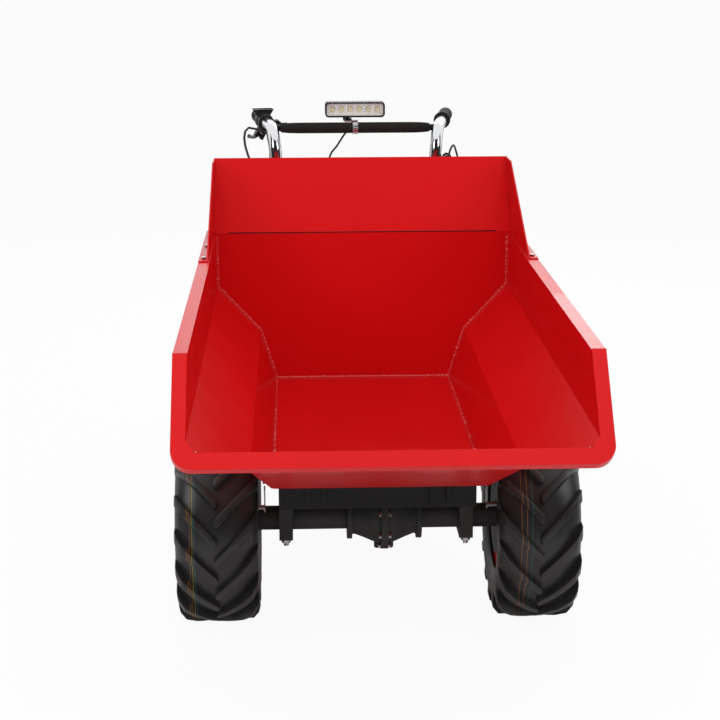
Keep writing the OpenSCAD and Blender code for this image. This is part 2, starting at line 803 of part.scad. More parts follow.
module brake_arm(side) {
    color(zinc) from_axle() on_side(side) {
        bar_x(arm_x, plate_x + plate_t + 20, cam_y, cam_z, cam_d);
        difference() {
            union() {
                bar_x(arm_x, arm_x + arm_t, cam_y, cam_z, 20);
                block([arm_x, cam_y - 6, cam_z], [arm_x + arm_t, cam_y + 6, cam_z + arm_len]);
                bar_x(arm_x, arm_x + arm_t, cam_y, cam_z + arm_len, 15);
            }
            bar_x(arm_x - 1, arm_x + arm_t + 1, cam_y, cam_z + arm_len, 7);
        }
    }
}

module hub_drum(side) {
    color(zinc) from_axle() on_side(side) difference() {
        union() {
            ring_x(plate_x + plate_t + 1, disc_x, 0, wheel_z, 2 * drum_r, 2 * (drum_r - drum_wall));
            bar_x(disc_x - drum_floor, disc_x, 0, wheel_z, 2 * drum_r - 1);
            bar_x(disc_x - drum_floor, disc_x + 22, 0, wheel_z, 62);
        }
        bar_x(0, through, 0, wheel_z, shaft_d + 0.02);
        for (a = [0:72:288]) rotate_about_axle(a)
            bar_x(0, through, stud_circle, wheel_z, stud_d + 0.3);
    }
}

// Rim: a well with two bead seats, and a disc with its wheel nuts
module rim(side) {
    line = [[rim_flange_r, bead_half + 4], [bead_r, bead_half], [bead_r, bead_half - 14],
        [bead_r - 14, bead_half - 20], [bead_r - 14, -bead_half + 20], [bead_r, -bead_half + 14],
        [bead_r, -bead_half], [rim_flange_r, -bead_half - 4]];
    color(red) from_axle() on_side(side) {
        turned_x(wheel_x, 0, wheel_z) polygon(sheet_outline(line, sheet));
        difference() {
            turned_x(wheel_x, 0, wheel_z) polygon([[32, 0], [bead_r - 14.03 - sheet, 0],
                [bead_r - 14.03 - sheet, disc_t], [32, disc_t]]);
            for (a = [0:72:288]) rotate_about_axle(a)
                bar_x(0, through, stud_circle, wheel_z, stud_d + 0.3);
            for (a = [36:72:324]) rotate_about_axle(a) bar_x(0, through, 60, wheel_z, 18);
        }
        for (a = [0:72:288]) rotate_about_axle(a) {
            bar_x(disc_x - drum_floor, disc_x + 22, stud_circle, wheel_z, stud_d);
            translate([disc_x + disc_t, stud_circle, wheel_z]) rotate([0, 90, 0])
                cylinder(h = 10, d = 21, $fn = 6);
        }
    }
}

// Tyre section: a rounded ring, bulge wide and high, as (radius, X) points
function power(v) = sign(v) * pow(abs(v), 0.75);
function bulge(mid, high, wide) = [for (a = [0:12:348]) [mid + high * power(sin(a)), wide * power(cos(a))]];
module tyre(side) {
    half = tyre_w / 2;
    mid = carcass_r - 48;
    color(rubber) from_axle() on_side(side) {
        difference() {
            union() {
                turned_x(wheel_x, 0, wheel_z) difference() {
                    polygon(bulge(mid, carcass_r - mid, half));
                    translate([0, -half - 1]) square([bead_r, tyre_w + 2]);
                    for (s = [-1, 1]) polygon([[0, s * bead_half], [bead_r, s * bead_half],
                        [rim_flange_r + 1, s * (bead_half + 4.4)], [rim_flange_r + 1, s * tyre_w],
                        [0, s * tyre_w]]);
                }
                intersection() {
                    turned_x(wheel_x, 0, wheel_z) polygon([[carcass_r - 40, -half],
                        [carcass_r - 14, -half + 1],
                        [wheel_z - 9, -half + 12], [wheel_z, -half + 42], [wheel_z, half - 42],
                        [wheel_z - 9, half - 12], [carcass_r - 14, half - 1], [carcass_r - 40, half]]);
                    for (i = [0:lug_count - 1], s = [-1, 1])
                        rotate_about_axle((i + s * 0.25) * 360 / lug_count)
                            translate([wheel_x + s * half / 2, 0, wheel_z]) rotate([0, 0, s * 47])
                                block([-half * 0.8, -lug_w / 2, carcass_r - 30],
                                    [half * 0.8, lug_w / 2, wheel_z + 9]);
                }
            }
            turned_x(wheel_x, 0, wheel_z) difference() {
                polygon(bulge(mid - 4, carcass_r - mid - 4, half - 9));
                for (s = [-1, 1]) polygon([[0, s * bead_in], [rim_flange_r + 6, s * bead_in],
                    [rim_flange_r + 6, s * tyre_w], [0, s * tyre_w]]);
            }
        }
    }
}

// Castors

module castor_plates() {
    color(zinc) from_axle() for (s = [-1, 1]) translate([s * rail_x, castor_y, 0]) difference() {
        union() {
            block([-45, -55, castor_top - plate_h], [45, 55, castor_top]);
            translate([0, 0, crown_z + rest_gap]) cylinder(h = race_h - rest_gap, d = 66);
        }
        translate([0, 0, crown_z - 1]) cylinder(h = race_h + plate_h + 2, d = king_d + 2 * fit);
    }
}

module castor_fork(side) {
    inner = fork_gap / 2;
    color(zinc) from_axle() translate([side * rail_x, castor_y, 0]) {
        translate([0, 0, crown_z - crown_t]) cylinder(h = crown_t, d = 74);
        block([-inner - leg_t, -12, crown_z - crown_t], [inner + leg_t, 42, crown_z]);
        cylinder_at(crown_z, castor_top - 0.5, king_d);
        for (s = [-1, 1]) along_x(s > 0 ? inner : -inner - leg_t, s > 0 ? inner + leg_t : -inner)
            difference() {
                union() {
                    polygon([[-12, crown_z], [42, crown_z], [trail + 17, castor_z], [trail - 17, castor_z],
                        [-12, crown_z - 24]]);
                    translate([trail, castor_z]) circle(d = 34);
                }
                translate([trail, castor_z]) circle(d = 12);
            }
        bar_x(-inner - leg_t - 8, inner + leg_t + 8, trail, castor_z, 11.9);
    }
}

module cylinder_at(z0, z1, d) {
    translate([0, 0, z0]) cylinder(h = z1 - z0, d = d);
}

module castor_wheel(side) {
    half = castor_w / 2;
    color(rubber) from_axle() turned_x(side * rail_x, castor_y + trail, castor_z)
        polygon([[castor_z - 22, -half + 4], [castor_z - 8, -half], [castor_z - 2, -half + 6],
            [castor_z, -half + 16], [castor_z, half - 16], [castor_z - 2, half - 6], [castor_z - 8, half],
            [castor_z - 22, half - 4]]);
    color(zinc) from_axle() turned_x(side * rail_x, castor_y + trail, castor_z)
        polygon([[6.03, -half], [18, -half], [22, -half + 14], [castor_z - 30, -half + 14],
            [castor_z - 24, -half + 5], [castor_z - 22.05, -half + 5], [castor_z - 22.05, half - 5],
            [castor_z - 24, half - 5], [castor_z - 30, half - 14], [22, half - 14], [18, half],
            [6.03, half]]);
}

// Battery box

module battery_box() {
    inside = box_half - box_wall;
    color(black) from_axle() {
        difference() {
            block([-box_half, box_y, rail_top], [box_half, box_y + box_len, box_top]);
            block([-inside, box_y + box_wall, rail_top + box_wall],
                [inside, box_y + box_len - box_wall, box_top + 1]);
        }
        for (x = gland_x) translate([x, box_y + box_len, gland_z]) rotate([-90, 0, 0]) {
            cylinder(h = 6, d = 17, $fn = 6);
            cylinder(h = 12, d = 13);
        }
        for (x = [-90, 50]) difference() {
            union() {
                bar_x(x, x + 40, lid_pin_y, lid_pin_z, 12);
                block([x, box_y + box_len, box_top - 20], [x + 40, lid_pin_y + 2, lid_pin_z]);
            }
            bar_x(x - 1, x + 41, lid_pin_y, lid_pin_z, 6 + 2 * fit);
        }
    }
}

module battery_lid() {
    color(red) from_axle() {
        difference() {
            block([-box_half - 5, box_y - 5, box_top - 14], [box_half + 5, box_y + box_len, box_top + lid_h]);
            block([-box_half - 2, box_y - 2, box_top - 15], [box_half + 2, through, box_top + lid_h - 3]);
            block([-box_half - 6, box_y + box_len - 1, box_top - 15], [box_half + 6, through, box_top]);
            for (x = [-93, 47]) block([x, box_y + box_len - 2, 0], [x + 46, through, box_top + 12]);
        }
        for (x = [-49, 91]) {
            difference() {
                union() {
                    bar_x(x, x + 18, lid_pin_y, lid_pin_z, 12);
                    block([x, box_y + box_len - 2, lid_pin_z], [x + 18, lid_pin_y + 6, box_top + lid_h]);
                }
            }
            bar_x(x - 41, x, lid_pin_y, lid_pin_z, 6);
        }
    }
}

module batteries() {
    color(plastic) from_axle() for (s = [-1, 1]) on_side(s) {
        low = rail_top + box_wall;
        block([4, box_y + 12, low], [box_half - 12, box_y + 190, low + 175]);
        for (y = [40, 150]) translate([40, box_y + y, low + 175]) cylinder(h = 14, d = 16);
    }
}

module motor_controller() {
    low = rail_top + box_wall;
    color(cast) from_axle() {
        block([-95, box_y + 210, low], [95, box_y + 290, low + 46]);
        for (x = [-88:16:88]) block([x, box_y + 212, low + 46], [x + 5, box_y + 288, low + 64]);
    }
}

// Handlebar and controls

module handle(side) {
    color(chrome) from_axle() on_side(side) {
        handle_path(bar_d, bar_d - 2 * bar_wall);
        block([post_x - rail_w / 2, post_y - 30, rail_top],
            [post_x + rail_w / 2, post_y + 30, rail_top + foot_t]);
    }
}

crossbar_t = (crossbar_y - bend_y) / handle_dir[1];
crossbar_z = bend_z + crossbar_t * handle_dir[2];
crossbar_x = bend_x + crossbar_t * handle_dir[0];

module handle_crossbar() {
    color(black) from_axle() difference() {
        bar_x(-crossbar_x, crossbar_x, crossbar_y, crossbar_z, crossbar_d);
        for (s = [-1, 1]) on_side(s) handle_path(bar_d + 0.01, 0);
    }
}

function foam_r(a) = foam_end + (foam_d / 2 - foam_end) * sin(a);
module crossbar_foam() {
    half = crossbar_x - bar_d / 2 - 6;
    color(foam_grey) from_axle() turned_x(0, crossbar_y, crossbar_z)
        polygon(concat(
            [[crossbar_d / 2 + 0.02, half], [crossbar_d / 2 + 0.02, -half]],
            [for (a = [0:15:90]) [foam_r(a), -half + foam_taper * (1 - cos(a))]],
            [for (a = [90:-15:0]) [foam_r(a), half - foam_taper * (1 - cos(a))]]));
}

module grip_body(length) {
    difference() {
        union() {
            translate([0, 0, -length]) cylinder(h = 5, d = grip_d + 7);
            translate([0, 0, -length]) cylinder(h = length + grip_cap + rest_gap, d = grip_d - 2);
            for (z = [-length + 10:8:-4]) translate([0, 0, z]) cylinder(h = 4, d = grip_d);
        }
        translate([0, 0, -length - 1]) cylinder(h = length + 1 + rest_gap, d = bar_d + 2 * grip_gap);
    }
}

module grip_left() {
    color(rubber) from_axle() on_handle(1) grip_body(grip_len);
}

module throttle_grip() {
    color(rubber) from_axle() on_handle(-1) grip_body(throttle_len);
}

module control_box() {
    back = -throttle_len - 1;
    front = back - throttle_box_len;
    color(plastic) from_axle() on_handle(-1) difference() {
        union() {
            translate([0, 0, front]) cylinder(h = throttle_box_len, d = 44);
            block([-24, -29, front], [30, -8, back]);
        }
        translate([0, 0, front - 1]) cylinder(h = throttle_box_len + 2, d = bar_d + 0.02);
    }
}

// Brake lever: it lies outside and below the grip and pivots on the perch
lever_out = 62;
perch_back = -throttle_len - 1 - throttle_box_len - 1;
perch_len = 26;
lever_pivot = [36, perch_back - 12];
lever_rest = 10;
// Ball of the direction toggle, just off the inner face of the perch
toggle_d = 7;
toggle_at = [-33 - toggle_d / 2 - rest_gap, 4, perch_back - 13];
module lever_plane() {
    rotate([0, 0, lever_out]) children();
}

module lever_perch() {
    color(plastic) from_axle() on_handle(-1) {
        difference() {
            union() {
                translate([0, 0, perch_back - perch_len]) cylinder(h = perch_len, d = 40);
                lever_plane() block([0, -12, perch_back - perch_len], [44, 12, perch_back]);
                lever_plane() block([14, -8, perch_back - perch_len - 16], [28, 6, perch_back]);
                rotate([0, 0, 180]) block([0, -14, perch_back - perch_len], [33, 6, perch_back]);
            }
            translate([0, 0, perch_back - perch_len - 20]) cylinder(h = perch_len + 22, d = bar_d + 0.02);
            lever_plane() block([26, -5, perch_back - perch_len - 1], [50, 5, perch_back + 1]);
        }
        lever_plane() translate([lever_pivot[0], 0, lever_pivot[1]]) rotate([90, 0, 0])
            cylinder(h = 23.9, d = 6, center = true);
        translate([-32.5, toggle_at[1], toggle_at[2]]) rotate([0, -90, 0]) difference() {
            cylinder(h = 6, d = toggle_d + 5);
            translate([0, 0, 0.5]) cylinder(h = 7, d = toggle_d + 0.6);
        }
    }
}

module brake_lever() {
    color(zinc) from_axle() on_handle(-1) lever_plane()
        translate([lever_pivot[0], 0, lever_pivot[1]]) rotate([90, 0, 0])
            translate([0, 0, -4.5]) linear_extrude(9) difference() {
                union() {
                    circle(d = 15);
                    polygon([[-7, 2], [7, 0], [18, 24], [26, 112], [18, 116], [8, 30]]);
                    translate([22, 114]) circle(d = 11);
                }
                circle(d = 6 + 2 * fit);
            }
}

module toggle_lever() {
    color(plastic) from_axle() on_handle(-1) translate(toggle_at) rotate([0, -90, 0]) {
        sphere(d = toggle_d);
        cylinder(h = 16, d = 4);
        translate([0, 0, 16]) sphere(d = 5.5);
    }
}

// Key switch on a tab at the top of the left post
key_at = [post_x + (bend_x - post_x) * 0.88 + bar_d / 2 + 14, bend_y - 10,
    rail_top + (bend_z - rail_top) * 0.87];
module key_switch() {
    color(black) from_axle() {
        translate(key_at) rotate([90, 0, 0]) {
            difference() {
                union() {
                    cylinder(h = 34, d = 18, center = true);
                    translate([0, 0, -14]) cylinder(h = 4, d = 24);
                }
                translate([0, 0, -18]) cylinder(h = 14, d = 8);
            }
        }
        difference() {
            block([key_at[0] - 18, key_at[1] - 6, key_at[2] - 4],
                [key_at[0] - 7, key_at[1] + 10, key_at[2] + 4]);
            handle_path(bar_d + 0.02, 0);
        }
    }
}

module key() {
    color(chrome) from_axle() translate(key_at) rotate([-90, 0, 0]) {
        translate([0, 0, 6]) cylinder(h = 13, d = 7.8);
        block([-1.5, -10, 19], [1.5, 10, 38]);
    }
}

// Lamp

lamp_axis_z = lamp_z - lamp_h / 2 - 6;
lamp_lug = [-23, -15];
lamp_plate_z = crossbar_z + foam_d / 2 + 1.5;
lamp_ear_w = 3;
lamp_pin_d = 5;
module lamp_bracket() {
    ears = [lamp_lug[0] - 1 - lamp_ear_w, lamp_lug[1] + 1 + lamp_ear_w];
    front = crossbar_y - foam_d / 2;
    color(zinc) from_axle() {
        difference() {
            union() {
                bar_x(-6.5, 6.5, crossbar_y, crossbar_z, foam_d + 6);
                block([-6.5, crossbar_y - 8, lamp_plate_z - 2], [6.5, crossbar_y + 8, lamp_plate_z + 3]);
                block([ears[0], crossbar_y - 4, lamp_plate_z], [6.5, lamp_y + 6, lamp_plate_z + 3]);
            }
            bar_x(-through, through, crossbar_y, crossbar_z, foam_d + 0.04);
            block([lamp_lug[0] - 1, lamp_y - 8, 0], [lamp_lug[1] + 1, through, through]);
        }
        for (x = [ears[0], ears[1] - lamp_ear_w]) {
            block([x, lamp_y - 5, lamp_plate_z], [x + lamp_ear_w, lamp_y + 5, lamp_axis_z]);
            bar_x(x, x + lamp_ear_w, lamp_y, lamp_axis_z, 10);
        }
        bar_x(ears[0] - 3, ears[1] + 3, lamp_y, lamp_axis_z, lamp_pin_d);
        bar_x(ears[0] - 3, ears[0], lamp_y, lamp_axis_z, 9);
        bar_x(-6.5, 6.5, front - 5, crossbar_z, 6);
        block([-3, front - 5, crossbar_z - 5], [3, front - 0.5, crossbar_z + 5]);
    }
}

module lamp_housing() {
    half = lamp_w / 2;
    rim_t = 4;
    color(black) from_axle() {
        difference() {
            block([-half, lamp_y - lamp_deep / 2, lamp_z - lamp_h / 2],
                [half, lamp_y + lamp_deep / 2, lamp_z + lamp_h / 2]);
            block([-half + rim_t, lamp_y - lamp_deep / 2 - 1, lamp_z - lamp_h / 2 + rim_t],
                [half - rim_t, lamp_y + lamp_deep / 2 - 16, lamp_z + lamp_h / 2 - rim_t]);
            for (x = [-half + 8:8:half - 8])
                block([x, lamp_y + lamp_deep / 2 - 11, lamp_z - lamp_h],
                    [x + 4, lamp_y + lamp_deep, lamp_z + lamp_h]);
        }
        difference() {
            union() {
                bar_x(lamp_lug[0], lamp_lug[1], lamp_y, lamp_axis_z, 10);
                block([lamp_lug[0], lamp_y - 5, lamp_axis_z],
                    [lamp_lug[1], lamp_y + 5, lamp_z - lamp_h / 2 + 1]);
            }
            bar_x(-through, through, lamp_y, lamp_axis_z, lamp_pin_d + 2 * fit);
        }
    }
}

led_count = 6;
module lamp_leds() {
    pitch = (lamp_w - 14) / led_count;
    color("gold") from_axle() for (i = [0:led_count - 1])
        translate([(i - (led_count - 1) / 2) * pitch, lamp_y + lamp_deep / 2 - 16, lamp_z]) {
            block([-5, -2, -5], [5, 0, 5]);
            rotate([90, 0, 0]) difference() {
                cylinder(h = 10, d = pitch - 2);
                translate([0, 0, -1]) cylinder(h = 12, d = pitch - 5);
            }
        }
}

module lamp_lens() {
    half = lamp_w / 2 - 4;
    color([0.85, 0.88, 0.9, 0.5]) from_axle()
        block([-half + 0.02, lamp_y - lamp_deep / 2 + 3, lamp_z - lamp_h / 2 + 4.02],
            [half - 0.02, lamp_y - lamp_deep / 2 + 6, lamp_z + lamp_h / 2 - 4.02]);
}

// Cables

// The cable stays round the post: offsets of the brake cable and of the throttle lead
brake_beside = [9, 17];
lead_beside = [-8, 17.5];
clip_z = [430, 660];
brake_start = handle_point(lever_turn([21, -1, perch_back - perch_len - 16]));
lead_start = handle_point([-8, 22, perch_back + 16]);
splitter = [-rail_x - rail_w / 2 - 12, 985, 262];

// Points down a post, straight through each band
function post_run(side, off) = [for (i = [len(clip_z) - 1:-1:0], dz = [16, 3.5, -9])
    post_point(side, clip_z[i] + dz, off)];

module brake_cables() {
    upper = concat(
        [brake_start, brake_start - 14 * handle_step([0, 0, 1])],
        [[-268, 1102, 858], [-279, 1076, 836], [-270, 1052, 796], [-252, 1040, 758], [-226, 1036, 716]],
        post_run(-1, brake_beside),
        [post_point(-1, 350, [18, 14]), splitter + [0, 0, 30], splitter]);
    right_run = [[splitter[0] + 12, 980, 243], [-176, 978, 243], [-146, 966, 244], [-116, 940, 247],
        [-112, 860, 248], [-112, 600, 248], [-112, 300, 248], [-122, 170, 249], [-160, 96, 250],
        [-200, 74, 251], [-220, 50, 262], [-222, 24, 268]];
    left_run = [[splitter[0] + 12, 992, 243], [-176, 993, 243], [-120, 1002, 244], [0, 1000, 245],
        [80, 960, 246], [112, 870, 248], [112, 600, 248], [112, 300, 248], [122, 170, 249], [160, 96, 250],
        [200, 74, 251], [220, 50, 262], [222, 24, 268]];
    color(rubber) from_axle() {
        cord(upper, brake_d, 2);
        cord(right_run, brake_d - 1, 2);
        cord(left_run, brake_d - 1, 2);
    }
    color(black) from_axle()
        block([splitter[0] - 12, splitter[1] - 12, 236], [splitter[0] + 12, splitter[1] + 14, splitter[2]]);
}

// Leads that end in the glands at the back of the battery box
gland_y = box_y + box_len + 12;
gland_z = 336;
gland_x = [-104, -58, 104];
function throttle_lead() = concat(
    [lead_start, lead_start + 12 * handle_step([0, 1, 0]), [-214, 1096, 800], [-212, 1060, 740]],
    post_run(-1, lead_beside),
    [[-150, 1012, 370], [-116, 1002, 340], [gland_x[0], 988, gland_z], [gland_x[0], gland_y, gland_z]]);
function lamp_lead() = [[-6, lamp_y, lamp_plate_z - 0.3], [-8, lamp_y + 1, lamp_plate_z - 14],
    [-26, 1086, 842], [-46, 1084, 812], [-64, 1080, 786], [-74, 1070, 720], [-70, 1050, 560],
    [-62, 1026, 420], [-58, 1000, 350], [gland_x[1], 988, gland_z], [gland_x[1], gland_y, gland_z]];
function key_lead() = concat(
    [key_at - [0, 17, 0], key_at - [0, 29, 0], [232, 982, 812], [241, 990, 824], [249, 1008, 808],
        [256, 1022, 780], [252, 1032, 746], [226, 1036, 706]],
    post_run(1, lead_beside),
    [[150, 1012, 370], [116, 1002, 340], [gland_x[2], 988, gland_z], [gland_x[2], gland_y, gland_z]]);
module electric_leads() {
    color(rubber) from_axle() {
        cord(throttle_lead(), lead_d, 3);
        cord(lamp_lead(), lead_d - 1, 3);
        cord(key_lead(), lead_d - 1, 3);
    }
}

// Bands that hold the cables to the posts
module cable_clips() {
    wall = 1.5;
    color(plastic) from_axle() for (side = [-1, 1], z = clip_z) {
        beside = side < 0 ? [brake_beside, lead_beside] : [lead_beside];
        difference() {
            union() {
                multmatrix(clip_frame(post_point(side, z, [0, 0]), side))
                    cylinder(h = 7, d = bar_d + 2 * wall);
                for (p = beside) multmatrix(clip_frame(post_point(side, z, p), side))
                    cylinder(h = 7, d = lead_d + 2 * wall + 2.4);
            }
            multmatrix(clip_frame(post_point(side, z - 4, [0, 0]), side)) cylinder(h = 20, d = bar_d + 0.02);
            for (p = beside) multmatrix(clip_frame(post_point(side, z - 4, p), side))
                cylinder(h = 20, d = lead_d + 2.4);
            cord(side < 0 ? throttle_lead() : key_lead(), lead_d + 1, 3);
        }
    }
}

function clip_frame(p, side) = level_frame(p, [side * post_dir[0], post_dir[1], post_dir[2]]);

rails();
crossmembers();
axle_tubes();
diff_casing(1);  // diff_casing_left
diff_casing(-1);  // diff_casing_right
axle_bolts();
final_drive_gear();
drive_motor();
motor_pinion();
axle_clamps();
brake_backplates();
battery_box();
batteries();
motor_controller();
castor_plates();
handle(1);  // handle_left
handle(-1);  // handle_right
handle_crossbar();
crossbar_foam();
grip_left();
control_box();
lever_perch();
key_switch();
lamp_bracket();
brake_cables();
electric_leads();
hinge_brackets();
hopper_pads();
cable_clips();
hopper_floor();
hopper_side(1);  // hopper_side_left
hopper_side(-1);  // hopper_side_right
hopper_back();
hopper_rim();
rear_board();
board_bolts();
hopper_underframe();
tyre(1);  // tyre_left
tyre(-1);  // tyre_right
rim(1);  // rim_left
rim(-1);  // rim_right
hub_drum(1);  // hub_drum_left
hub_drum(-1);  // hub_drum_right
half_shaft(1);  // half_shaft_left
half_shaft(-1);  // half_shaft_right
castor_fork(1);  // castor_fork_left
castor_fork(-1);  // castor_fork_right
castor_wheel(1);  // castor_wheel_left
castor_wheel(-1);  // castor_wheel_right
brake_arm(1);  // brake_arm_left
brake_arm(-1);  // brake_arm_right
brake_lever();
throttle_grip();
toggle_lever();
key();
lamp_housing();
lamp_leds();
lamp_lens();
latch_hook();
battery_lid();
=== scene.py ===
# %% [markdown]
# # A powered concrete buggy
# The machine is a tipping hopper on a black steel frame, with two lugged wheels in front, two castors
# behind and a chrome handlebar that the operator walks with. The solids come from CAD and stay where
# they are. This script gives each of them the finish of the real one, and it models the pieces whose
# look needs more than flat solids: tyres, weld beads, lamp, battery gauge and brake lever.

# %% Load the CAD model
import json
import math
import random

import bpy
from mathutils import Matrix, Vector


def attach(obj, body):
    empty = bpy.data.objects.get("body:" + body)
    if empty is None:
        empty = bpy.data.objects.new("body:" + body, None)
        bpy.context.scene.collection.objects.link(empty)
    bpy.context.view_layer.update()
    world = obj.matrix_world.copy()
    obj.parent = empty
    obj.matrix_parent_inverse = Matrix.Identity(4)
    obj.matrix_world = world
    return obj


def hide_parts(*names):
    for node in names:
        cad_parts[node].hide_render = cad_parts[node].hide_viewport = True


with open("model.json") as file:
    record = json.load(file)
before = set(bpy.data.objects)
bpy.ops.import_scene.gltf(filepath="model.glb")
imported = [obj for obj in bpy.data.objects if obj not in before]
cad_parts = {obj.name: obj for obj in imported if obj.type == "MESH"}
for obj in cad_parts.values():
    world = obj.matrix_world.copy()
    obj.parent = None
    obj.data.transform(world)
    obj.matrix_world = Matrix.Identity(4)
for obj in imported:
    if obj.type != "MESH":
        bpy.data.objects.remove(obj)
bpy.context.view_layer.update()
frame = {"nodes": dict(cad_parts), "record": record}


# %% [markdown]
# ## Ways of working
# The CAD pieces arrive selected, and an operator acts on all that is selected. So each piece starts
# from an empty selection, and is shaped in edit mode by faces that are picked by their place. When it
# is done, its location goes into its mesh, so that patterns on Object coordinates stay put.

# %% Helpers for selecting
def clear_selection():
    if bpy.context.mode != "OBJECT":
        bpy.ops.object.mode_set(mode="OBJECT")
    bpy.ops.object.select_all(action="DESELECT")


def pick(piece):
    clear_selection()
    piece.select_set(True)
    bpy.context.view_layer.objects.active = piece


def edit(piece, select=True):
    pick(piece)
    bpy.ops.object.mode_set(mode="EDIT")
    bpy.ops.mesh.select_all(action="SELECT" if select else "DESELECT")


def leave():
    bpy.ops.object.mode_set(mode="OBJECT")


def pick_faces(piece, test):
    """Enters edit mode with only the faces selected whose centre and normal pass the test."""
    edit(piece, False)
    bpy.ops.mesh.select_mode(type="FACE")
    leave()
    for face in piece.data.polygons:
        face.select = bool(test(face.center, face.normal))
    bpy.ops.object.mode_set(mode="EDIT")


# %% Helpers for shaping
def settle(piece, name=None):
    """Puts the piece's place into its mesh, so that its object sits at the origin."""
    pick(piece)
    bpy.ops.object.transform_apply(location=True, rotation=True, scale=True)
    if name:
        piece.name = name
        piece.data.name = name
    return piece


def extrude(move):
    """Extrudes the faces picked, by a move along x, y and z."""
    bpy.ops.mesh.extrude_region_move(TRANSFORM_OT_translate={"value": move})


def apply_modifier(piece, kind, **settings):
    pick(piece)
    modifier = piece.modifiers.new(kind, kind)
    for key, value in settings.items():
        setattr(modifier, key, value)
    bpy.ops.object.modifier_apply(modifier=modifier.name)


def cut(piece, tool, operation="DIFFERENCE"):
    """Cuts the piece with another one, which is used up."""
    apply_modifier(piece, "BOOLEAN", operation=operation, object=tool, solver="EXACT")
    bpy.data.objects.remove(tool)


def smooth(piece, angle=None):
    """Smooth shading, everywhere or where faces meet at less than an angle in degrees."""
    pick(piece)
    if angle is None:
        bpy.ops.object.shade_smooth()
    else:
        bpy.ops.object.shade_smooth_by_angle(angle=math.radians(angle))


def soften(piece, width, segments=3, angle=35):
    """Rounds the edges where faces meet at more than an angle in degrees."""
    apply_modifier(piece, "BEVEL", width=width, segments=segments, limit_method="ANGLE",
                   angle_limit=math.radians(angle))
    smooth(piece, 40)


def join(pieces, name):
    clear_selection()
    for piece in pieces:
        piece.select_set(True)
    bpy.context.view_layer.objects.active = pieces[0]
    bpy.ops.object.join()
    return settle(bpy.context.object, name)


def copy_of(piece):
    """A copy with a mesh of its own."""
    clear_selection()
    twin = piece.copy()
    twin.data = piece.data.copy()
    bpy.context.collection.objects.link(twin)
    return twin


# %% Helpers for starting a shape
AXLE_Y, WHEEL_Z = -0.327589, 0.203  # the middle of the front axle


def from_axle(x, y, z):
    """A point in millimetres from the spot on the ground under the middle of the front axle."""
    return Vector((x / 1000, y / 1000 + AXLE_Y, z / 1000))


def cube(place, size):
    clear_selection()
    bpy.ops.mesh.primitive_cube_add(size=1, location=place)
    piece = bpy.context.object
    piece.scale = size
    return settle(piece)


def rod(start, end, radius, sides=32):
    clear_selection()
    start, end = Vector(start), Vector(end)
    bpy.ops.mesh.primitive_cylinder_add(radius=radius, depth=(end - start).length, vertices=sides)
    piece = bpy.context.object
    turn = (end - start).to_track_quat("Z", "Y").to_matrix().to_4x4()
    piece.matrix_world = Matrix.Translation((start + end) / 2) @ turn
    return settle(piece)


# %% [markdown]
# ## Finishes
# Each finish is a Principled shader with its own small variation. Noise textures on Object coordinates
# change colour, roughness and height a little, as dust, casting skin and brushing do. A Bevel node
# rounds the sharp edges of the CAD solids in the shading alone, so their meshes stay as they are. An
# image could hold the same dirt, but noise has no seams and fits every piece that shares the finish.

# %% Helpers for shader nodes
def connect(m, value, socket):
    """Links a socket to another, or writes a constant into it."""
    if isinstance(value, bpy.types.NodeSocket):
        m.node_tree.links.new(value, socket)
    else:
        socket.default_value = value


def node(m, kind, **inputs):
    n = m.node_tree.nodes.new("ShaderNode" + kind)
    for key, value in inputs.items():
        connect(m, value, n.inputs[key.replace("_", " ")])
    return n


def calculate(m, operation, *values, kind="Math"):
    n = node(m, kind)
    n.operation = operation
    for socket, value in zip(n.inputs, values):
        connect(m, value, socket)
    return n.outputs["Value"]


def mix_shaders(m, share, first, second):
    n = node(m, "MixShader")
    for socket, value in zip(n.inputs, (share, first, second)):
        connect(m, value, socket)
    return n.outputs["Shader"]


# %% Helpers for finishes
def material(slot, colour, rough, metal=0.0, coat=0.0, shine=0.5):
    """A new Principled finish. A CAD material that has its name is renamed."""
    if slot in bpy.data.materials:
        bpy.data.materials[slot].name = slot + " of the CAD"
    m = bpy.data.materials.new(slot)
    m.use_nodes = True
    constants = {"Base Color": (*colour, 1), "Roughness": rough, "Metallic": metal, "Coat Weight": coat,
                 "Coat Roughness": 0.03, "Specular IOR Level": shine}
    for socket, value in constants.items():
        m.node_tree.nodes["Principled BSDF"].inputs[socket].default_value = value
    return m


def feed(m, socket, value):
    m.node_tree.links.new(value, m.node_tree.nodes["Principled BSDF"].inputs[socket])


def where(m, stretch=(1, 1, 1)):
    """Object coordinates, each multiplied by its stretch."""
    plain = node(m, "TexCoord").outputs["Object"]
    return node(m, "Mapping", Vector=plain, Scale=stretch).outputs["Vector"]


def noise(m, scale, detail=3.0, stretch=(1, 1, 1)):
    return node(m, "TexNoise", Vector=where(m, stretch), Scale=scale, Detail=detail).outputs["Fac"]


def span(m, share, low, high):
    return node(m, "MapRange", Value=share, To_Min=low, To_Max=high).outputs["Result"]


def tint(m, share, low, high):
    """Mixes two colours. Each is three numbers or the socket of an earlier mix."""
    mix = node(m, "Mix")
    mix.data_type = "RGBA"
    connect(m, share, mix.inputs[0])
    for socket, colour in ((mix.inputs[6], low), (mix.inputs[7], high)):
        connect(m, colour if isinstance(colour, bpy.types.NodeSocket) else (*colour, 1), socket)
    return mix.outputs[2]


def relief(m, height, strength, distance, edge=0.0):
    """Small height in the surface, and rounded edges of a radius in metres."""
    bump = node(m, "Bump", Height=height, Strength=strength, Distance=distance)
    if edge:
        bevel = node(m, "Bevel", Radius=edge)
        bevel.samples = 4
        connect(m, bevel.outputs["Normal"], bump.inputs["Normal"])
    feed(m, "Normal", bump.outputs["Normal"])


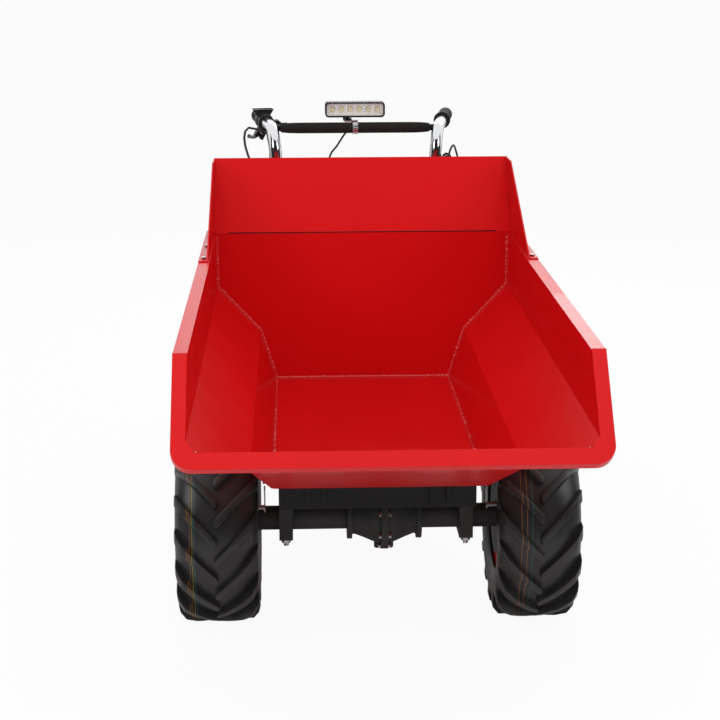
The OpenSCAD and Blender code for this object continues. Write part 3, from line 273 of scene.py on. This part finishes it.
# %% [markdown]
# The hopper's paint is a gloss red, sprayed on folded sheet. A thin clear coat gives its sharp
# highlights, and a slow, shallow ripple in the sheet makes the reflections waver. A little dust dulls
# it in patches. The frame is sprayed in a satin black with a fine orange peel, the castings keep their
# sandy skin under the paint, and the lamp's case is powder coated.

# %% Paints
red = material("red_paint", (0.62, 0.005, 0.007), rough=0.3, coat=0.22, shine=0.08)
feed(red, "Roughness", span(red, noise(red, 9), 0.24, 0.38))
feed(red, "Base Color", tint(red, noise(red, 5), (0.57, 0.004, 0.006), (0.64, 0.006, 0.008)))
relief(red, noise(red, 6, detail=1), strength=0.06, distance=0.004, edge=0.0014)

black = material("black_paint", (0.004, 0.004, 0.0045), rough=0.38, coat=0.1, shine=0.2)
feed(black, "Roughness", span(black, noise(black, 14), 0.3, 0.5))
relief(black, noise(black, 420, detail=2), strength=0.12, distance=0.0004, edge=0.0012)

cast = material("cast_black", (0.012, 0.012, 0.013), rough=0.55, shine=0.3)
feed(cast, "Base Color", tint(cast, noise(cast, 30), (0.016, 0.016, 0.017), (0.045, 0.043, 0.041)))
relief(cast, noise(cast, 260, detail=4), strength=0.45, distance=0.0007, edge=0.0018)

lamp_black = material("lamp_metal", (0.009, 0.009, 0.01), rough=0.42, shine=0.3)
relief(lamp_black, noise(lamp_black, 500, detail=2), strength=0.15, distance=0.0003, edge=0.001)
print("paints:", red.name, black.name, cast.name, lamp_black.name)

# %% [markdown]
# Chrome, zinc and turned iron are bare metals that differ in roughness and tone: the handlebar mirrors
# the room, zinc plate is milky with a fine grain, and the brake drums show turning marks. The marks
# are a noise that is squeezed along the axle, which is simpler than a ring for each pass of the tool.

# %% Metals
chrome = material("chrome_tube", (0.78, 0.79, 0.81), rough=0.09, metal=1.0)
feed(chrome, "Roughness", span(chrome, noise(chrome, 20), 0.06, 0.16))
relief(chrome, noise(chrome, 60, detail=2), strength=0.03, distance=0.0004)

zinc = material("zinc_steel", (0.58, 0.59, 0.61), rough=0.34, metal=1.0)
feed(zinc, "Base Color", tint(zinc, noise(zinc, 55), (0.46, 0.47, 0.49), (0.68, 0.68, 0.68)))
feed(zinc, "Roughness", span(zinc, noise(zinc, 80), 0.26, 0.46))
relief(zinc, noise(zinc, 350, detail=3), strength=0.12, distance=0.0003, edge=0.0008)

drum = material("drum_iron", (0.4, 0.4, 0.4), rough=0.4, metal=1.0)
turning = noise(drum, 300, detail=2, stretch=(3, 0.4, 0.4))
feed(drum, "Base Color", tint(drum, turning, (0.3, 0.3, 0.31), (0.5, 0.5, 0.5)))
grooves = noise(drum, 500, detail=2, stretch=(4, 0.3, 0.3))
relief(drum, grooves, strength=0.2, distance=0.0003, edge=0.001)

key_steel = material("key_steel", (0.6, 0.58, 0.52), rough=0.25, metal=1.0)
relief(key_steel, noise(key_steel, 400), strength=0.1, distance=0.0002, edge=0.0006)

reflector = material("reflector", (0.92, 0.92, 0.9), rough=0.3, metal=0.1)
relief(reflector, noise(reflector, 200), strength=0.1, distance=0.0002)
print("metals:", chrome.name, zinc.name, drum.name, key_steel.name, reflector.name)

# %% [markdown]
# Tyre rubber is dark, a little shiny where it is new, and greys with dust. Thin coloured lines from the
# extruder run round the tread, and they are rubbed off in patches. A line is a narrow range of X, so
# comparing X with its place draws it round the whole tyre, and the distance to the axle keeps it off
# the side walls.

# %% Tyre rubber
TREAD_FROM = 0.184
LINE_HALF_WIDTH = 0.0006
TREAD_LINES = (
    (-0.364, (0.35, 0.14, 0.02)), (-0.360, (0.3, 0.12, 0.02)), (-0.355, (0.35, 0.28, 0.03)),
    (-0.351, (0.02, 0.14, 0.16)), (0.271, (0.32, 0.13, 0.03)), (0.281, (0.3, 0.13, 0.03)),
    (0.291, (0.02, 0.13, 0.1)))

rubber = material("tyre_rubber", (0.009, 0.009, 0.009), rough=0.5, shine=0.5)
shade = tint(rubber, noise(rubber, 18), (0.011, 0.011, 0.0115), (0.024, 0.024, 0.0245))
to_axle = calculate(rubber, "DISTANCE", where(rubber, (0, 1, 1)), (0, AXLE_Y, WHEEL_Z),
                    kind="VectorMath")
on_tread = calculate(rubber, "GREATER_THAN", to_axle, TREAD_FROM)
worn_tread = calculate(rubber, "MULTIPLY", on_tread, span(rubber, noise(rubber, 45), 0.25, 1.0))
across = node(rubber, "SeparateXYZ", Vector=where(rubber)).outputs["X"]
for line_x, line_colour in TREAD_LINES:
    stripe = calculate(rubber, "COMPARE", across, line_x, LINE_HALF_WIDTH)
    shade = tint(rubber, calculate(rubber, "MULTIPLY", stripe, worn_tread), shade, line_colour)
feed(rubber, "Base Color", shade)
feed(rubber, "Roughness", span(rubber, noise(rubber, 40), 0.28, 0.46))
relief(rubber, noise(rubber, 300, detail=4), strength=0.2, distance=0.0004)
print("tyre rubber with", len(TREAD_LINES), "lines")

# %% [markdown]
# The other rubbers and plastics are dark, with little specular light, and differ in their grain. Foam
# is full of tiny cells, and moulded plastic has a fine leather-like skin. The lamp's cover is a clear
# sheet. Alpha lets the bowls show through it without the noise that real refraction brings.

# %% Rubber, foam, plastic and lens
castor_rubber = material("castor_rubber", (0.03, 0.03, 0.032), rough=0.6, shine=0.3)
relief(castor_rubber, noise(castor_rubber, 250), strength=0.2, distance=0.0004, edge=0.001)

grip_rubber = material("grip_rubber", (0.01, 0.01, 0.0105), rough=0.62, shine=0.3)
relief(grip_rubber, noise(grip_rubber, 500), strength=0.25, distance=0.0003, edge=0.0006)

foam = material("foam", (0.012, 0.011, 0.010), rough=0.9, shine=0.2)
feed(foam, "Base Color", tint(foam, noise(foam, 60), (0.009, 0.0085, 0.008), (0.022, 0.019, 0.017)))
relief(foam, noise(foam, 900, detail=4), strength=0.5, distance=0.0006)

plastic = material("black_plastic", (0.011, 0.011, 0.012), rough=0.45, shine=0.3)
relief(plastic, noise(plastic, 700), strength=0.2, distance=0.0003, edge=0.0012)

battery_case = material("battery_plastic", (0.02, 0.02, 0.023), rough=0.5, shine=0.35)
relief(battery_case, noise(battery_case, 500), strength=0.15, distance=0.0003, edge=0.001)

sheath = material("cable_sheath", (0.009, 0.009, 0.01), rough=0.35, shine=0.35)
relief(sheath, noise(sheath, 120), strength=0.1, distance=0.0003, edge=0.0006)

lens = material("lens", (0.9, 0.92, 0.93), rough=0.04)
feed(lens, "Alpha", span(lens, noise(lens, 40), 0.1, 0.14))
relief(lens, noise(lens, 30), strength=0.02, distance=0.0003)
print("soft and moulded finishes:", castor_rubber.name, grip_rubber.name, foam.name, plastic.name,
      battery_case.name, sheath.name, lens.name)

# %% Put each finish on its CAD pieces
finishes = {m.name: m for m in (
    red, black, cast, lamp_black, chrome, zinc, drum, key_steel, reflector, rubber, castor_rubber,
    grip_rubber, foam, plastic, battery_case, sheath, lens)}
slot_of = {s["node"]: s["material_slot"] for s in frame["record"]["subparts"]}
for name, piece in frame["nodes"].items():
    for held in piece.material_slots:
        held.material = finishes[slot_of[name]]
print(len(finishes), "finishes on", len(slot_of), "CAD pieces")


def give(piece, finish, body, *nodes):
    """Gives a new piece its finish and body, and lets it stand for the CAD nodes named."""
    piece.data.materials.clear()
    piece.data.materials.append(finish)
    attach(piece, body)
    if nodes:
        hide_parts(*nodes)
    return piece


# %% [markdown]
# ## Tyres
# A traction tyre is a round carcass with two staggered rows of slanted bars. The CAD tyre has the same
# bars with square edges. Here the carcass is a section that is spun about the axle. One bar is a
# tapered block that is cut to the tyre's round shape by a boolean, bevelled once and then copied,
# which keeps all bars alike and saves work.

# %% The carcass
WHEEL_X, HALF_WIDTH = 0.310, 0.080
BAR_DEPTH = 0.013
BASE_R = WHEEL_Z - BAR_DEPTH
BEAD_R, BEAD_HALF = 0.1038, 0.058
WIDEST_R = 0.142
WALL_FROM, WALL_SWEEP, WALL_STEPS = -34, 122, 14  # degrees of the side wall's arc
CARCASS_STEPS = 96


def spun_ring(section, steps, name):
    """Spins a closed section of (radius, x) points about the X axis, in edit mode."""
    clear_selection()
    bpy.ops.mesh.primitive_circle_add(vertices=len(section), radius=0.01, location=(0, 0, 0))
    piece = bpy.context.object
    for vertex, (r, x) in zip(piece.data.vertices, section):
        vertex.co = (x, 0, r)
    edit(piece)
    bpy.ops.mesh.spin(steps=steps, angle=2 * math.pi, center=(0, 0, 0), axis=(1, 0, 0))
    bpy.ops.mesh.select_all(action="SELECT")
    bpy.ops.mesh.remove_doubles(threshold=0.00001)
    bpy.ops.mesh.normals_make_consistent(inside=False)
    leave()
    return settle(piece, name)


def squared(v):
    """Pushes a sine or cosine outwards, which turns an ellipse into a fuller arch."""
    return math.copysign(abs(v) ** 0.75, v)


def carcass_section():
    """Bead, bulging side wall, rounded shoulder and nearly flat tread of half a tyre, mirrored."""
    half = [(BEAD_R, 0.0), (BEAD_R, BEAD_HALF - 0.004), (0.106, BEAD_HALF),
            (0.1145, 0.0632), (0.118, 0.0675)]
    for i in range(WALL_STEPS):
        a = math.radians(WALL_FROM + i * WALL_SWEEP / WALL_STEPS)
        half.append((WIDEST_R + (BASE_R - WIDEST_R) * squared(math.sin(a)),
                     HALF_WIDTH * squared(math.cos(a))))
    half.append((BASE_R, 0.0))
    return half + [(r, -x) for r, x in reversed(half[1:-1])]


# %% One bar
BAR_SIZE = (0.128, 0.0175, 0.064)
BAR_MIDDLE_R, BAR_SLANT = 0.180, 47
OVER_CENTRE = 0.003
ENVELOPE_STEPS = 72


def tread_envelope():
    """The round shape that holds all bars, with its shoulders rounded off."""
    side = [(0.150, 0.0), (0.150, 0.0795), (BASE_R - 0.016, 0.0795), (BASE_R - 0.004, 0.0765),
            (WHEEL_Z - 0.0045, 0.066), (WHEEL_Z - 0.0008, 0.045), (WHEEL_Z, 0.02)]
    return side + [(r, -x) for r, x in reversed(side[1:])]


def tread_bar():
    """One slanted bar of the left half, tapered to its top and cut off just past the centre."""
    bar = cube((0, 0, BAR_MIDDLE_R), BAR_SIZE)
    pick_faces(bar, lambda centre, normal: normal.z > 0.9)
    bpy.ops.transform.resize(value=(0.99, 0.72, 1))
    leave()
    bar.rotation_euler = (0, 0, math.radians(BAR_SLANT))
    bar.location.x = HALF_WIDTH / 2
    settle(bar)
    edit(bar)
    bpy.ops.mesh.bisect(plane_co=(-OVER_CENTRE, 0, 0), plane_no=(1, 0, 0), clear_inner=True,
                        use_fill=True)
    leave()
    cut(bar, spun_ring(tread_envelope(), ENVELOPE_STEPS, "tread_envelope"), "INTERSECT")
    soften(bar, 0.0012, segments=2, angle=30)
    return bar


bar = tread_bar()
print("one bar has", len(bar.data.polygons), "faces")

# %% Both tyres
BARS = 16


def tyre(side, body, cad_node):
    """Carcass and bars of one tyre, made at the middle, mirrored on the right and moved out."""
    parts = [spun_ring(carcass_section(), CARCASS_STEPS, "carcass")]
    for half in (1, -1):
        for i in range(BARS):
            turn = (i + half * 0.25) * 2 * math.pi / BARS
            twin = copy_of(bar)
            flip = Matrix.Scale(half, 4, (1, 0, 0))
            twin.data.transform(Matrix.Rotation(turn, 4, "X") @ flip)
            if half < 0:
                twin.data.flip_normals()
            parts.append(twin)
    whole = join(parts, "tyre_" + body)
    whole.data.transform(Matrix.Scale(side, 4, (1, 0, 0)))
    if side < 0:
        whole.data.flip_normals()
    whole.data.transform(Matrix.Translation((side * WHEEL_X, AXLE_Y, WHEEL_Z)))
    smooth(whole, 35)
    return give(whole, rubber, body, cad_node)


for side, body, cad_node in ((1, "left_wheel", "tyre_left"), (-1, "right_wheel", "tyre_right")):
    dressed = tyre(side, body, cad_node)
    print(dressed.name, len(dressed.data.polygons), "faces")
bpy.data.objects.remove(bar)


# %% [markdown]
# ## Weld beads
# The back plate, the sides and the floor of the hopper are separate sheets that are welded along their
# inside corners and painted over. A bead is a thin round cord along the corner, half sunk in it. Each
# drop of the weld pool is one small ball, copied along the corner at uneven steps, so that the row
# glints in small points as the real one does. Bumps in a material couldn't break the bead's outline.

# %% Painted weld
weld = material("weld_bead", (0.6, 0.012, 0.014), rough=0.2, coat=1.0)
feed(weld, "Base Color", tint(weld, noise(weld, 300), (0.5, 0.006, 0.008), (0.75, 0.06, 0.06)))
relief(weld, noise(weld, 500, detail=2), strength=0.5, distance=0.0008)
print("finish", weld.name)


# %% Helpers for a weld
def bead(points, radius, name):
    """A thin cord along a line of points, made from a curve."""
    clear_selection()
    curve = bpy.data.curves.new(name, "CURVE")
    curve.dimensions = "3D"
    curve.bevel_depth = radius
    curve.bevel_resolution = 3
    curve.use_fill_caps = True
    line = curve.splines.new("POLY")
    line.points.add(len(points) - 1)
    for spot, p in zip(line.points, points):
        spot.co = (*from_axle(*p), 1)
    piece = bpy.data.objects.new(name, curve)
    bpy.context.collection.objects.link(piece)
    pick(piece)
    bpy.ops.object.convert(target="MESH")
    return settle(bpy.context.object, name)


chance = random.Random(4)


def drops_along(points, step, radius):
    """Copies one drop along a line, at uneven steps and sizes."""
    clear_selection()
    bpy.ops.mesh.primitive_ico_sphere_add(subdivisions=2, radius=radius)
    drop = settle(bpy.context.object)
    line = []
    for a, b in zip(points, points[1:]):
        a, b = from_axle(*a), from_axle(*b)
        count = max(1, int((b - a).length / step))
        for i in range(count):
            twin = copy_of(drop)
            size = chance.uniform(0.7, 1.15)
            spot = a.lerp(b, (i + chance.uniform(0.2, 0.8)) / count)
            twin.data.transform(Matrix.Translation(spot) @ Matrix.Diagonal((size, size, size, 1)))
            line.append(twin)
    bpy.data.objects.remove(drop)
    return line


# %% Weld beads
BACK_Y, FLOOR_Z = 611.5, 332.5
BACK_EDGE = ((200, 332), (235, 445), (332, 550), (332, 664))
BACK_R, FOLD_R = 0.0032, 0.003
BACK_STEP, BACK_DROP_R = 0.009, 0.0042
FOLD_STEP, FOLD_DROP_R = 0.014, 0.0034

foot_line = [(-200, BACK_Y, FLOOR_Z), (200, BACK_Y, FLOOR_Z)]
beads = [bead(foot_line, BACK_R, "weld_back_floor")] + drops_along(foot_line, BACK_STEP, BACK_DROP_R)
for side in (1, -1):
    corner = [(side * (x - 0.5), BACK_Y, z + 0.5) for x, z in BACK_EDGE]
    beads += [bead(corner, BACK_R, "weld_back_side")] + drops_along(corner, BACK_STEP, BACK_DROP_R)
    fold = [(side * 199.5, 611, FLOOR_Z), (side * 199.5, -198, FLOOR_Z)]
    rise = [(side * 234.5, -442.4, 445.5), (side * 317, -635, 535.5)]
    beads += [bead(fold + rise, FOLD_R, "weld_floor_side")] + drops_along(fold, FOLD_STEP, FOLD_DROP_R)
welds = join(beads, "hopper_welds")
smooth(welds)
give(welds, weld, "hopper")
print("weld beads", len(welds.data.polygons), "faces")

# %% [markdown]
# The board stands on the rim of the back plate with a small gap, which shows as a dark line of shade. A
# thin black strip in the gap paints that shade, a stretched cube with its edges rounded.

# %% Painted shade strip in the gap
# Painted shade: a black strip where the gap under the board falls dark
strip = cube(from_axle(0, 612.6, 673.4), (0.612, 0.0016, 0.0022))
soften(strip, 0.0003, segments=2)
give(settle(strip, "board_seal"), sheath, "hopper")
print("painted gap shade strip", len(strip.data.polygons), "faces")


# %% [markdown]
# ## Lamp
# The lamp is a shallow box with rounded corners and cooling ribs behind. In front a bright plate holds
# six round bowls, each with a yellow light chip, under a clear cover. The box is a cube whose front is
# inset and pushed in, and the ribs are left between slots that a boolean cuts. That is quicker than
# one piece for each rib, and the ribs grow out of the box as in the casting.

# %% Lamp housing
LAMP = from_axle(0, 1085, 905)
LAMP_SIZE = (0.150, 0.042, 0.038)
LAMP_CORNER_R = 0.009
RIM_WIDTH, FRONT_DEPTH = 0.0035, 0.026
SLOTS, SLOT_STEP, FIRST_SLOT_X = 17, 0.008, -0.065
SLOT_SIZE = (0.004, 0.015, 0.05)


def at_lamp(x, y, z):
    return LAMP + Vector((x, y, z))


def bevel_edges(piece, along, width, segments):
    """Bevels the edges that run along one axis."""
    edit(piece, False)
    bpy.ops.mesh.select_mode(type="EDGE")
    leave()
    for edge in piece.data.edges:
        a, b = (piece.data.vertices[i].co for i in edge.vertices)
        edge.select = abs((b - a).normalized()[along]) > 0.99
    bpy.ops.object.mode_set(mode="EDIT")
    bpy.ops.mesh.bevel(offset=width, segments=segments)
    leave()


def faces_front(centre, normal):
    return normal.y < -0.9


housing = cube(LAMP, LAMP_SIZE)
bevel_edges(housing, 1, LAMP_CORNER_R, 5)
pick_faces(housing, faces_front)
bpy.ops.mesh.inset(thickness=RIM_WIDTH, depth=0)
extrude((0, FRONT_DEPTH, 0))
leave()
slots = [cube(at_lamp(FIRST_SLOT_X + i * SLOT_STEP, 0.0185, 0), SLOT_SIZE) for i in range(SLOTS)]
cut(housing, join(slots, "slots"))
soften(housing, 0.0007, segments=2, angle=50)
print("lamp housing", len(housing.data.polygons), "faces")

# %% [markdown]
# A small foot under the box holds it on the pin of its bracket. It is a block with a round end, and its
# eye is drilled through both.

# %% Lamp foot
PIN_Z = -0.025
foot = join([cube(at_lamp(-0.019, 0, -0.0215), (0.008, 0.010, 0.007)),
             rod(at_lamp(-0.023, 0, PIN_Z), at_lamp(-0.015, 0, PIN_Z), 0.005)], "lamp_foot")
cut(foot, rod(at_lamp(-0.03, 0, PIN_Z), at_lamp(-0.01, 0, PIN_Z), 0.00252))
housing = join([housing, foot], "lamp_case")
give(housing, lamp_black, "lamp", "lamp_housing")
print("lamp case", len(housing.data.polygons), "faces")

# %% [markdown]
# A bowl starts as a short cylinder. Its front is extruded inwards three times and narrowed each time,
# which gives the curved mirror round the chip.

# %% Bowls and light chips
BOWLS, BOWL_PITCH = 6, 0.136 / 6
BOWL_R, BOWL_DEPTH, BOWL_LIP = 0.0108, 0.0135, 0.0006
BOWL_HOLLOW = ((0.004, 0.93), (0.004, 0.82), (0.0035, 0.68))  # depth and narrowing of each step
HOLE_R = 0.0102
CHIP_SIZE = (0.0085, 0.0022, 0.0085)
PLATE_SIZE = (0.1415, 0.0016, 0.0302)

chip_yellow = material("light_chip", (0.86, 0.68, 0.16), rough=0.4)
chip_tones = tint(chip_yellow, noise(chip_yellow, 700), (0.88, 0.7, 0.14), (0.95, 0.84, 0.36))
feed(chip_yellow, "Base Color", chip_tones)


def bowl_at(middle):
    clear_selection()
    bpy.ops.mesh.primitive_cylinder_add(radius=BOWL_R, depth=BOWL_DEPTH, vertices=32,
                                        location=middle + Vector((0, -0.0035, 0)),
                                        rotation=(math.pi / 2, 0, 0))
    bowl = settle(bpy.context.object)
    pick_faces(bowl, faces_front)
    bpy.ops.mesh.inset(thickness=BOWL_LIP, depth=0)
    for depth, shrink in BOWL_HOLLOW:
        extrude((0, depth, 0))
        bpy.ops.transform.resize(value=(shrink, 1, shrink))
    leave()
    return bowl


holes, bowls, chips = [], [], []
for i in range(BOWLS):
    middle = LAMP + Vector(((i - (BOWLS - 1) / 2) * BOWL_PITCH, 0, 0))
    holes.append(rod(middle + Vector((0, -0.02, 0)), middle + Vector((0, 0.02, 0)), HOLE_R))
    bowls.append(bowl_at(middle))
    chip = cube(middle + Vector((0, -0.0015, 0)), CHIP_SIZE)
    soften(chip, 0.0007)
    chips.append(chip)
plate = cube(at_lamp(0, -0.011, 0), PLATE_SIZE)
cut(plate, join(holes, "holes"))
bright = join([plate] + bowls, "lamp_reflector")
smooth(bright, 30)
give(bright, reflector, "lamp", "lamp_leds")
chips = join(chips, "light_chips")
give(chips, chip_yellow, "lamp")
print("bowls and chips", len(bright.data.polygons) + len(chips.data.polygons), "faces")


# %% [markdown]
# ## Controls on the right grip
# Everything on this grip is square to its tube, which leans a little. So each piece is modelled in the
# tube's own frame, out, down and along, in millimetres from the tube's end, and then placed by one
# matrix. That frame is left-handed, as the machine's right side mirrors its left, so faces are flipped.

# %% The grip's frame
ALONG = Vector((-0.161422, 0.986468, 0.0286973)).normalized()
OUT = Vector((-ALONG.y, ALONG.x, 0)).normalized()
DOWN = OUT.cross(ALONG)
TUBE_END = from_axle(-248, 1305, 868)
GRIP = (Matrix.Translation(TUBE_END) @ Matrix((OUT, DOWN, ALONG)).transposed().to_4x4()
        @ Matrix.Scale(0.001, 4))
print("grip frame", [round(v, 4) for v in (*OUT, *DOWN)])


def on_grip(piece, turn=0.0):
    """Places a piece made in the grip's frame, turned about the tube by an angle in degrees."""
    placing = GRIP @ Matrix.Rotation(math.radians(turn), 4, "Z")
    piece.data.transform(placing)
    if placing.determinant() < 0:
        piece.data.flip_normals()
    return piece


# %% [markdown]
# The battery gauge is a small box that widens upwards from the tube, with a dark glass set into its
# top. The cube's lower face is drawn in, its top is inset and pushed in, and the edges are rounded
# last, so that one bevel serves all of them. A drilled collar holds it on the tube.

# %% Gauge box
GAUGE_ALONG = -107
COLLAR_R, TUBE_R = 22, 15.1

gauge = cube((3, -20, GAUGE_ALONG), (54, 22, 30))
pick_faces(gauge, lambda centre, normal: normal.y > 0.9)
bpy.ops.transform.resize(value=(0.5, 1, 0.85))
leave()
pick_faces(gauge, lambda centre, normal: normal.y < -0.9)
bpy.ops.mesh.inset(thickness=4, depth=0)
extrude((0, 1.6, 0))
leave()
soften(gauge, 1.3)
collar = rod((0, 0, GAUGE_ALONG - 16), (0, 0, GAUGE_ALONG + 16), COLLAR_R, sides=48)
soften(collar, 1.5)
gauge = join([gauge, collar], "gauge")
cut(gauge, rod((0, 0, -130), (0, 0, -80), TUBE_R, sides=48))
give(on_grip(settle(gauge, "gauge_box")), plastic, "chassis", "control_box")
print("gauge box", len(gauge.data.polygons), "faces")

# %% Gauge window
gauge_glass = material("gauge_glass", (0.03, 0.035, 0.03), rough=0.08, coat=0.6)
feed(gauge_glass, "Roughness", span(gauge_glass, noise(gauge_glass, 60), 0.05, 0.14))
pane = cube((3, -28.9, GAUGE_ALONG), (45, 1.4, 21))
soften(pane, 0.4, segments=2)
give(on_grip(settle(pane, "gauge_window")), gauge_glass, "chassis")
print("gauge window", len(pane.data.polygons), "faces")

# %% [markdown]
# The brake lever is a cast blade that leaves its pivot, swings out and runs back beside the grip to a
# ball end. It grows from a cube by extruding one face in steps, each moved and narrowed a little, and
# a subdivision surface rounds the whole. A curve could follow the same line, but not swell as freely.

# %% Brake lever
BLADE_STEPS = (((3, 0, 9), 0.9), ((5, 0, 11), 0.85), ((6, 0, 18), 0.95), ((4, 0, 26), 0.96),
               ((3, 0, 26), 0.98), ((1, 0, 16), 1.0))  # each step's move and narrowing
BALL_R, BALL_AT = 5.6, (58, 0, -23)
LEVER_TURN = 62

blade = cube((36, 0, -136), (14, 9, 14))
pick_faces(blade, lambda centre, normal: normal.z > 0.9)
for move, narrow in BLADE_STEPS:
    extrude(move)
    bpy.ops.transform.resize(value=(narrow, 0.98, 1))
leave()
apply_modifier(blade, "SUBSURF", levels=2, render_levels=2)
clear_selection()
bpy.ops.mesh.primitive_uv_sphere_add(segments=24, ring_count=12, radius=BALL_R, location=BALL_AT)
blade = join([blade, settle(bpy.context.object)], "blade")
smooth(blade)
give(on_grip(settle(blade, "brake_blade"), LEVER_TURN), lamp_black, "hand_lever", "brake_lever")
print("brake lever", len(blade.data.polygons), "faces")


# %% [markdown]
# ## Camera, light and floor
# The photograph was taken from in front of the machine, a little above it, with a long lens. The camera
# is turned by its own three directions, because yaw, pitch and roll can then be changed one by one.

# %% Camera
CAMERA_AT = (-0.153, -3.5686, 1.337)
CAMERA_LENS = 85.5
yaw, pitch, roll = math.radians(2.18), math.radians(14.05), math.radians(-0.13)

bpy.ops.object.camera_add(location=CAMERA_AT)
camera = bpy.context.object
forward = Vector((math.sin(yaw) * math.cos(pitch), math.cos(yaw) * math.cos(pitch), -math.sin(pitch)))
right = Vector((math.cos(yaw), -math.sin(yaw), 0))
up = right.cross(forward)
right, up = (math.cos(roll) * right + math.sin(roll) * up,
             math.cos(roll) * up - math.sin(roll) * right)
camera.matrix_world = (Matrix.Translation(camera.location)
                       @ Matrix((right, up, -forward)).transposed().to_4x4())
camera.data.lens = CAMERA_LENS
camera.data.sensor_width = 36
bpy.context.scene.camera = camera
bpy.context.scene.view_settings.view_transform = "Standard"
print("camera looks along", [round(v, 3) for v in forward])

# %% [markdown]
# Large soft lamps light the machine from above, from both sides, from the front and from behind, so no
# side falls dark and shadows stay pale. The top and front lamps are kept out of reflections, where
# they would lie as white blots on the gloss paint.

# %% Soft lamps
SOFTBOXES = (  # place, aim, size, power, and whether it shows in reflections
    ((0, -0.6, 3.4), (0, 0, 0.4), (3.2, 3.2), 42, False),
    ((-3.0, -2.4, 2.7), (0, -0.2, 0.5), (2.0, 1.8), 40, True),
    ((3.0, -2.0, 2.6), (0, -0.2, 0.5), (2.0, 1.8), 30, True),
    ((0, -4.6, 1.9), (0, 0.2, 0.6), (2.6, 1.6), 42, False),
    ((0.6, 3.2, 2.2), (0, 0.2, 0.5), (2.4, 1.6), 30, True))

for place, aim, size, power, mirrored in SOFTBOXES:
    bpy.ops.object.light_add(type="AREA", location=place)
    lamp = bpy.context.object
    lamp.rotation_euler = (Vector(aim) - Vector(place)).to_track_quat("-Z", "Y").to_euler()
    lamp.data.shape = "RECTANGLE"
    lamp.data.size, lamp.data.size_y = size
    lamp.data.energy = power
    lamp.visible_glossy = mirrored
print(len(SOFTBOXES), "soft lamps")

# %% [markdown]
# The room is white to the camera, in reflections and through glass, and gives the object only a soft
# even light. Light Path tells these rays apart, so the white backdrop doesn't overexpose the machine.

# %% The room
ROOM_LIGHT = 0.42

world = bpy.data.worlds.new("room")
bpy.context.scene.world = world
world.use_nodes = True
world.node_tree.nodes.clear()
ray = node(world, "LightPath").outputs
mirror_or_glass = calculate(world, "MAXIMUM", ray["Is Glossy Ray"], ray["Is Transmission Ray"])
sees_white = calculate(world, "MAXIMUM", ray["Is Camera Ray"], mirror_or_glass)
soft = node(world, "Background", Color=(1, 1, 1, 1), Strength=ROOM_LIGHT)
white = node(world, "Background", Color=(1, 1, 1, 1), Strength=1.0)
either = mix_shaders(world, sees_white, soft.outputs["Background"], white.outputs["Background"])
node(world, "OutputWorld", Surface=either)
print("room light", ROOM_LIGHT)

# %% [markdown]
# Polished tubes show what stands before them. Dark cards in front of the machine and beside it give
# them a dark stripe under the white of the room, as the studio does. Only mirrored rays see them.

# %% Dark cards
def panel(place, size, turn=(0, 0, 0)):
    clear_selection()
    bpy.ops.mesh.primitive_plane_add(size=1, location=place, rotation=turn)
    piece = bpy.context.object
    piece.scale = (*size, 1)
    return settle(piece)


QUARTER = math.pi / 2
cards = [panel((0, -3.7, 0.004), (6, 3.6)), panel((0, -5.5, 3.8), (9, 8), (QUARTER, 0, 0))]
cards += [panel((side * 4.5, -2.4, 2.2), (4.8, 6.2), (0, QUARTER, 0)) for side in (1, -1)]
card = join(cards, "dark_card")
card.data.materials.append(material("dark_card", (0.03, 0.03, 0.03), rough=0.5, shine=0))
card.visible_camera = card.visible_diffuse = card.visible_shadow = card.visible_transmission = False
print(len(cards), "dark cards")

# %% [markdown]
# The floor is pale and dull. Most of what the camera sees of it is plain white, mixed in by Light Path,
# and the rest is the lit surface, which keeps the machine's soft shadow.

# %% Floor
FLOOR_SIZE = 120
WHITE_SHARE = 0.94

clear_selection()
bpy.ops.mesh.primitive_plane_add(size=FLOOR_SIZE, location=(0, 0, 0))
floor = bpy.context.object
floor.name = "floor"
pale = material("pale_floor", (0.86, 0.86, 0.86), rough=0.9)
lit = pale.node_tree.nodes["Principled BSDF"].outputs["BSDF"]
glow = node(pale, "Emission", Color=(1, 1, 1, 1), Strength=1.0).outputs["Emission"]
seen = node(pale, "LightPath").outputs["Is Camera Ray"]
blend = mix_shaders(pale, calculate(pale, "MULTIPLY", seen, WHITE_SHARE), lit, glow)
connect(pale, blend, pale.node_tree.nodes["Material Output"].inputs["Surface"])
floor.data.materials.append(pale)
print("floor", FLOOR_SIZE, "metres wide")
